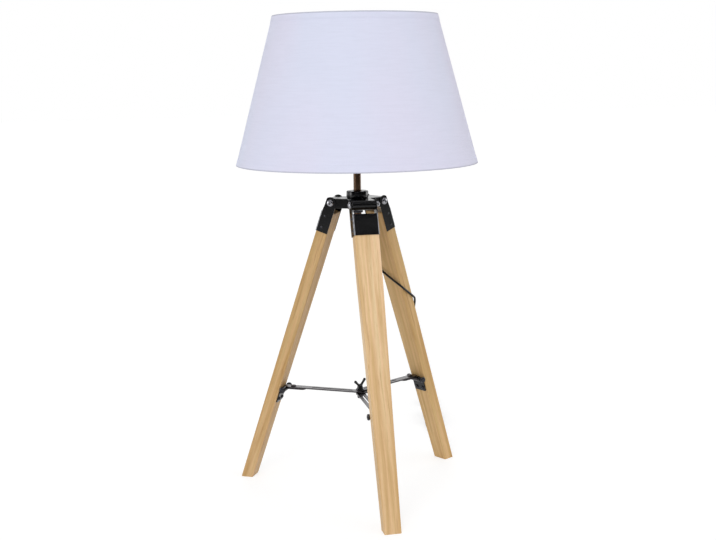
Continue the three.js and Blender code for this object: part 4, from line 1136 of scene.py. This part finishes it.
def bushing():
    """The cord's bushing: a grooved cone under a flange, with a spigot in the rod."""
    hole = CORD_DIAMETER / 2 + SEAT_GAP
    start = ROD_BOTTOM - SEAT_GAP
    end, flange = start - BUSHING_LENGTH, start - BUSHING_FLANGE_HEIGHT
    spigot = ROD_BORE - SEAT_GAP
    outline = [(hole, end), (BUSHING_TIP_RADIUS, end)]
    for groove in range(BUSHING_GROOVES):
        share = (groove + 0.5) / BUSHING_GROOVES
        low = end + (flange - end) * share
        high = low + BUSHING_GROOVE_WIDTH
        radius = BUSHING_TIP_RADIUS + (BUSHING_NECK_RADIUS - BUSHING_TIP_RADIUS) * share
        waist = radius - BUSHING_GROOVE_DEPTH
        outline += [(radius, low), (waist, low + BUSHING_GROOVE_SLOPE), (waist, high - BUSHING_GROOVE_SLOPE),
                    (radius, high)]
    outline += [
        (BUSHING_NECK_RADIUS, flange), (BUSHING_FLANGE_RADIUS, flange), (BUSHING_FLANGE_RADIUS, start),
        (spigot, start), (spigot, start + BUSHING_SPIGOT), (hole, start + BUSHING_SPIGOT),
    ]
    fit("bushing", turned(eased(outline, BUSHING_EDGE, True), 48, True), AXIS, "cord_bushing")


# Brackets, pins and bars of the spreader

def bracket_shape():
    """A plate with two screw holes and two knuckles, in the leg's own axes."""
    face = -LEG_THICKNESS - SEAT_GAP
    top = PIN_ALONG - KNUCKLE_RADIUS - SEAT_GAP
    middle = top - BRACKET_PLATE / 2
    hole = BRACKET_SCREW_HEAD / 2 + SEAT_GAP
    screws = PIN_ALONG - BRACKET_SCREW_DROP - middle
    loops = [rounded_box(BRACKET_PLATE / 2, BRACKET_WIDTH / 2, BRACKET_CORNER)]
    loops += [circle((screws, side * BRACKET_SCREW_SPREAD / 2), hole, 16) for side in (-1, 1)]
    shapes = [moved(plate(loops, face - BRACKET_THICKNESS, face), at(0, 0, middle) @ X_FOR_Z)]
    lobe = [(face, top - KNUCKLE_RADIUS), (face, PIN_ALONG), (PIN_OFF, PIN_ALONG + KNUCKLE_RADIUS)]
    lobe += arc((PIN_OFF, PIN_ALONG), KNUCKLE_RADIUS, 90, 225, 14)[1:]
    lobe += [(face - BRACKET_THICKNESS, top - KNUCKLE_RADIUS)]
    bore = circle((PIN_OFF, PIN_ALONG), PIN_RADIUS + TURN_GAP, 20)
    width = (BRACKET_WIDTH - BAR_WIDTH) / 2 - TURN_GAP
    for side in (-1, 1):
        centre = side * (BAR_WIDTH / 2 + TURN_GAP + width / 2)
        shapes.append(moved(plate([lobe, bore], centre - width / 2, centre + width / 2), Y_FOR_Z))
    return united(*shapes)


def pin_shape():
    """The hinge pin of a bracket: a rounded head on a boss at both of its ends."""
    inner = BRACKET_WIDTH / 2 + TURN_GAP
    neck = inner + PIN_BOSS_HEIGHT
    outer = neck + PIN_HEAD_HEIGHT
    head = PIN_HEAD_RADIUS
    end = [
        (PIN_RADIUS, inner), (PIN_BOSS_RADIUS, inner), (PIN_BOSS_RADIUS, neck),
        (head - PIN_HEAD_CHAMFER, neck), (head, neck + PIN_HEAD_EASE), (head, outer - PIN_HEAD_ROUNDING),
        (head - PIN_HEAD_EASE, outer - PIN_HEAD_CHAMFER), (head - PIN_HEAD_ROUNDING, outer),
        (head * 0.42, outer), (head * 0.36, outer - PIN_DIMPLE_DEPTH), (0, outer - PIN_DIMPLE_DEPTH),
    ]
    return turned([(radius, -height) for radius, height in reversed(end)] + end, 48)


def bar_bottom(layer):
    return PIN_HEIGHT + SPREADER_ABOVE_PIN + layer * BAR_STEP - BAR_THICKNESS / 2


def bar_shape(layer):
    """A flat bar with round ends, its rivet hole and its long slot."""
    rivet = PIN_RADIAL - RIVET_FROM_PIN
    start = -SLOT_WIDTH / 2 - SEAT_GAP
    loops = [
        round_ended(-BAR_PAST_CENTRE, rivet + BAR_WIDTH / 2, BAR_WIDTH / 2),
        circle((rivet, 0), RIVET_RADIUS + SEAT_GAP, 24),
        round_ended(start, start + SLOT_LENGTH, SLOT_WIDTH / 2),
    ]
    return plate(loops, bar_bottom(layer), bar_bottom(layer) + BAR_THICKNESS)


def link_shape(layer):
    """A plate under the bar, its barrel on the pin and the rivet through both."""
    top = bar_bottom(layer) - SEAT_GAP
    head_from = bar_bottom(layer) + BAR_THICKNESS + SEAT_GAP
    half = BAR_WIDTH / 2
    outline = arc((PIN_RADIAL - LINK_LENGTH, 0), half, 90, 270, 16)
    outline += [(PIN_RADIAL, -half), (PIN_RADIAL, half)]
    flat = plate([outline], top - LINK_THICKNESS, top)
    foot = top - LINK_THICKNESS / 2
    rivet = [(0, foot), (RIVET_RADIUS, foot), (RIVET_RADIUS, head_from)]
    rivet += dome(RIVET_HEAD_RADIUS, head_from, RIVET_HEAD_HEIGHT)
    stud = moved(turned(rivet, 32), at(PIN_RADIAL - RIVET_FROM_PIN, 0, 0))
    barrel = tube(PIN_RADIUS + TURN_GAP, KNUCKLE_RADIUS, -half, half, KNUCKLE_EDGE, 40)
    barrel = moved(barrel, at(PIN_RADIAL, 0, PIN_HEIGHT) @ spun(-90, "X"))
    return united(flat, stud, barrel)


def strut(name, layer):
    """The bracket on one leg with its pin and screws, and the link and bar that hang on it."""
    place = leg_matrix(name)
    evened(fit(f"hinge_bracket_{name}", bracket_shape(), place, f"bracket_{name}"))
    pin_place = place @ at(PIN_OFF, 0, PIN_ALONG) @ spun(-90, "X")
    fit(f"knob_pin_{name}", pin_shape(), pin_place, f"bracket_pin_{name}", "black_zinc")
    face = -LEG_THICKNESS - 2 * SEAT_GAP - BRACKET_THICKNESS
    for hand, side in (("a", 1), ("b", -1)):
        shape = screw_head(BRACKET_SCREW_HEAD, BRACKET_SCREW_RISE, BRACKET_SCREW_LENGTH)
        stand = at(face, side * BRACKET_SCREW_SPREAD / 2, PIN_ALONG - BRACKET_SCREW_DROP) @ spun(-90, "Y")
        node = f"bracket_screw_{name}_{hand}"
        fit(f"wood_screw_{name}_{hand}", shape, place @ stand, node, "black_zinc")
    side_on = upright_matrix(name)
    evened(fit(f"link_{name}", link_shape(layer), side_on, f"strut_link_{name}"))
    evened(fit(f"bar_{name}", bar_shape(layer), side_on, f"strut_bar_{name}"))


def wing_nut_shape():
    """A tapered hub with two rounded wings that rise from it."""
    hub = [(0, 0), (WING_HUB_RADIUS, 0), (WING_HUB_TOP_RADIUS, WING_HUB_HEIGHT), (0, WING_HUB_HEIGHT)]
    shapes = [turned(eased(hub, WING_HUB_EDGE), 40)]
    length = math.hypot(WING_REACH, WING_RISE) + 2 * WING_TIP_RADIUS
    waist = (length * 0.55, WING_TIP_RADIUS * 0.72)
    ear = arc((length - WING_TIP_RADIUS, 0), WING_TIP_RADIUS, -110, 110, 14)
    ear += [waist, (0, WING_TIP_RADIUS), (0, -WING_TIP_RADIUS), (waist[0], -waist[1])]
    tilt = Matrix.Rotation(-math.atan2(WING_RISE, WING_REACH), 4, "Y")
    for side in (0, 180):
        flat = plate([ear], -WING_THICKNESS / 2, WING_THICKNESS / 2, WING_EDGE)
        shapes.append(moved(flat, spun(side, "Z") @ at(0, 0, WING_ROOT_RISE) @ tilt @ Y_FOR_Z))
    return united(*shapes)


def middle():
    """Bolt, washers and wing nut where the three bars cross."""
    stack_top = bar_bottom(max(BAR_LAYERS.values())) + BAR_THICKNESS
    washer_low = bar_bottom(min(BAR_LAYERS.values())) - SEAT_GAP - MIDDLE_WASHER_THICKNESS
    nut_bottom = stack_top + 2 * SEAT_GAP + MIDDLE_WASHER_THICKNESS
    radius = MIDDLE_BOLT_RADIUS
    for name, low in (("low", washer_low), ("top", stack_top + SEAT_GAP)):
        high = low + MIDDLE_WASHER_THICKNESS
        washer = tube(radius + SEAT_GAP, MIDDLE_WASHER_RADIUS, low, high, WASHER_EDGE, 48)
        fit(f"flat_washer_{name}", washer, AXIS, f"spreader_washer_{name}", "black_zinc")
    flat, head_top = MIDDLE_HEAD_FLAT, washer_low - SEAT_GAP
    head_bottom = head_top - MIDDLE_HEAD_HEIGHT
    end = nut_bottom + WING_HUB_HEIGHT + MIDDLE_BOLT_PAST_NUT
    bolt = turned([
        (0, head_bottom), (flat * 0.94, head_bottom),
        (flat, head_bottom + MIDDLE_HEAD_CHAMFER, 6), (flat, head_top, 6), (radius, head_top),
        (radius, end - MIDDLE_TIP_CHAMFER), (radius - MIDDLE_TIP_CHAMFER, end), (0, end),
    ], 48)
    fit("middle_bolt", bolt, AXIS, "spreader_bolt", "black_zinc")
    place = AXIS @ at(0, 0, nut_bottom) @ Matrix.Rotation(WING_TURN, 4, "Z")
    evened(fit("winged_nut", wing_nut_shape(), place, "wing_nut"))


# Lampholder, fitter and bulb

def waved(shape, from_radius, count, depth):
    """Grips round the rim of a turned shape."""
    vertices = []
    for vertex in shape[0]:
        radius = math.hypot(vertex.x, vertex.y)
        if radius > from_radius:
            angle = math.atan2(vertex.y, vertex.x)
            share = 1 - depth / radius * (0.5 + 0.5 * math.cos(count * angle)) ** 2
            vertex = Vector((vertex.x * share, vertex.y * share, vertex.z))
        vertices.append(vertex)
    return vertices, shape[1]


def lampholder():
    base = HOLDER_BASE
    rod_end = base + ROD_IN_HOLDER + SEAT_GAP
    bore = ROD_RADIUS + SEAT_GAP
    radius = HOLDER_RADIUS
    low = base + HOLDER_CAP_HEIGHT + SEAT_GAP
    top = low + SHELL_HEIGHT
    flange = low + SHELL_FLANGE_HEIGHT
    cap = [
        (0, rod_end), (bore, rod_end), (bore, base), (HOLDER_FOOT_RADIUS, base),
        (HOLDER_SHOULDER_RADIUS, base + HOLDER_SHOULDER_RISE), (radius, base + HOLDER_DOME_HEIGHT),
        (radius, base + HOLDER_CAP_HEIGHT), (0, base + HOLDER_CAP_HEIGHT),
    ]
    fit("holder_dome", turned(eased(cap, HOLDER_EDGE), 96), AXIS, "holder_cap")
    inner = radius - SHELL_WALL
    shell = [(inner, low), (SHELL_FLANGE_RADIUS, low), (SHELL_FLANGE_RADIUS, flange), (radius, flange),
             (radius, top), (inner, top)]
    fit("holder_sleeve", turned(eased(shell, SHELL_EDGE, True), 96, True), AXIS, "holder_shell")
    outer, rim, floor = inner - SEAT_GAP, low + INSERT_HEIGHT, low + INSERT_FLOOR
    core = [(0, low), (outer, low), (outer, rim), (SOCKET_RADIUS, rim), (SOCKET_RADIUS, floor), (0, floor)]
    fit("holder_core", turned(eased(core, INSERT_EDGE), 64), AXIS, "holder_insert")
    seat = floor + SEAT_GAP
    contact = [(0, seat), *dome(CONTACT_RADIUS, seat, CONTACT_HEIGHT, steps=10)]
    fit("socket_contact", turned(contact, 32), AXIS, "centre_contact")
    half = radius + SWITCH_TRAVEL / 2 + SWITCH_STUB / 2
    bar = eased([(0, -half), (SWITCH_RADIUS, -half), (SWITCH_RADIUS, half), (0, half)], SWITCH_EDGE)
    place = AXIS @ at(-SWITCH_TRAVEL / 2, 0, base + SWITCH_HEIGHT) @ spun(90, "Y")
    fit("switch_rod", turned(bar, 32), place, "switch_bar")
    ring_low = flange + SEAT_GAP + FITTER_THICKNESS + SEAT_GAP
    ring = tube(radius + SEAT_GAP, RING_RADIUS, ring_low, ring_low + RING_HEIGHT, RING_EDGE, 240)
    gripped = waved(ring, RING_RADIUS - RING_GRIP_REACH, RING_GRIPS, RING_GRIP_DEPTH)
    fit("clamp_ring", gripped, AXIS, "shade_ring")
    dress(refined("shade_fitter", "fitter"), looks["wire"])


def bulb():
    floor = HOLDER_BASE + HOLDER_CAP_HEIGHT + SEAT_GAP + INSERT_FLOOR
    low = floor + SEAT_GAP + CONTACT_HEIGHT + SEAT_GAP
    thread_low = low + CAP_SHOULDER + CAP_THREAD_FROM_SHOULDER
    thread_high = low + CAP_HEIGHT - CAP_ABOVE_THREAD
    pitch = (thread_high - thread_low) / CAP_THREADS
    outline = [(0, low), (CAP_TIP_RADIUS, low), (CAP_TIP_RADIUS, low + CAP_TIP_HEIGHT),
               (CAP_RADIUS - CAP_THREAD_DEPTH, low + CAP_SHOULDER)]
    steps = 8 * CAP_THREADS
    for step in range(steps + 1):
        height = thread_low + (thread_high - thread_low) * step / steps
        depth = CAP_THREAD_DEPTH * (0.5 + 0.5 * math.cos(2 * math.pi * (height - thread_low) / pitch))
        outline.append((CAP_RADIUS - depth, height))
    outline += [(CAP_RADIUS, thread_high + pitch / 2), (CAP_RADIUS, low + CAP_HEIGHT), (0, low + CAP_HEIGHT)]
    fit("bulb_base", turned(outline, 64), AXIS, "bulb_cap")
    bottom = low + CAP_HEIGHT + SEAT_GAP
    centre = low + BULB_LENGTH - BULB_RADIUS
    meet = Vector((BULB_RADIUS * math.cos(BULB_SPRING), centre + BULB_RADIUS * math.sin(BULB_SPRING)))
    neck = Vector((BULB_NECK_RADIUS, bottom + BULB_NECK_HEIGHT))
    pull = (meet.y - neck.y) * BULB_PULL_SHARE
    first = neck + Vector((0, pull))
    second = meet + Vector((pull * math.sin(BULB_SPRING), -pull * math.cos(BULB_SPRING)))
    outline = [(0, bottom), (BULB_NECK_RADIUS, bottom)]
    steps = 20
    for step in range(steps):
        row = [neck, first, second, meet]
        while len(row) > 1:
            row = [near.lerp(far, step / steps) for near, far in zip(row, row[1:])]
        outline.append(tuple(row[0]))
    globe = arc((0, centre), BULB_RADIUS, math.degrees(BULB_SPRING), 90, 40)
    outline += [*globe[:-1], (0, centre + BULB_RADIUS)]
    fit("bulb_globe", turned(outline, 96), AXIS, "bulb_glass")


shade()
for name, side in BOLT_SIDES.items():
    leg(name, side)
head()
rod()
bushing()
for name, layer in BAR_LAYERS.items():
    strut(name, layer)
middle()
lampholder()
bulb()


# Floor, lamps and background

def add_floor():
    half = FLOOR_SIZE / 2
    corners = [(-half, -half, 0), (half, -half, 0), (half, half, 0), (-half, half, 0)]
    floor = piece("floor", corners, [(0, 1, 2, 3)])
    look = Look("floor_paper", Roughness=0.9, Specular_IOR_Level=0.0, Emission_Color=(1, 1, 1))
    grain = look.mix(look.noise(look.place(), 12, 3, 0.5), (1, 1, 1), (0.98, 0.98, 0.98))
    seen = look.seen_rays()
    level = look.mix(seen, (FLOOR_LIT,) * 3, (FLOOR_SEEN,) * 3)
    glow = look.math("MULTIPLY", seen, FLOOR_GLOW)
    dress(floor, look.finish(Base_Color=look.mix(1.0, level, grain, "MULTIPLY"), Emission_Strength=glow))


def add_card(name, start, end, level):
    """A curved card round the lamp, seen only in gloss: dark in front, bright at the sides."""
    foot = arc((0, 0), CARD_RADIUS, start, end, CARD_STEPS)
    corners = [(x, y, z) for x, y in foot for z in (0, CARD_HEIGHT)]
    faces = [(2 * step, 2 * step + 2, 2 * step + 3, 2 * step + 1) for step in range(CARD_STEPS)]
    card = piece(name, corners, faces)
    look = Look(name, Base_Color=(0, 0, 0), Roughness=1.0, Specular_IOR_Level=0.0, Emission_Color=(1, 1, 1))
    mottle = look.noise(look.place(), 2, 2, 0.5)
    dress(card, look.finish(Emission_Strength=look.spread(mottle, 0, 1, level * 0.9, level * 1.1)))
    for rays in ("camera", "diffuse", "shadow", "transmission"):
        setattr(card, f"visible_{rays}", False)


def add_world():
    world = bpy.data.worlds.new("world")
    world.use_nodes = True
    bpy.context.scene.world = world
    sky = Nodes(world.node_tree)
    background = sky.tree.nodes["Background"]
    sky.set(background, "Color", (1, 1, 1))
    sky.set(background, "Strength", sky.spread(sky.seen_rays(), 0, 1, SKY_LEVEL, 1))


def add_lamps():
    for name, place, strength, width in SUNS:
        data = bpy.data.lights.new(name, "SUN")
        data.energy = strength
        data.angle = math.radians(width)
        linked(name, data).rotation_euler = Vector(place).to_track_quat("Z", "Y").to_euler()
    for name, place, power in STRIPS:
        data = bpy.data.lights.new(name, "AREA")
        data.shape = "RECTANGLE"
        data.size, data.size_y = STRIP_SIZE
        data.energy = power
        strip = linked(name, data)
        strip.location = place
        aim = Vector(place) - Vector((0, 0, place[2]))
        strip.rotation_euler = aim.to_track_quat("Z", "Y").to_euler()


add_floor()
for card in CARDS:
    add_card(*card)
add_world()
add_lamps()
bpy.context.scene.view_settings.view_transform = "Standard"
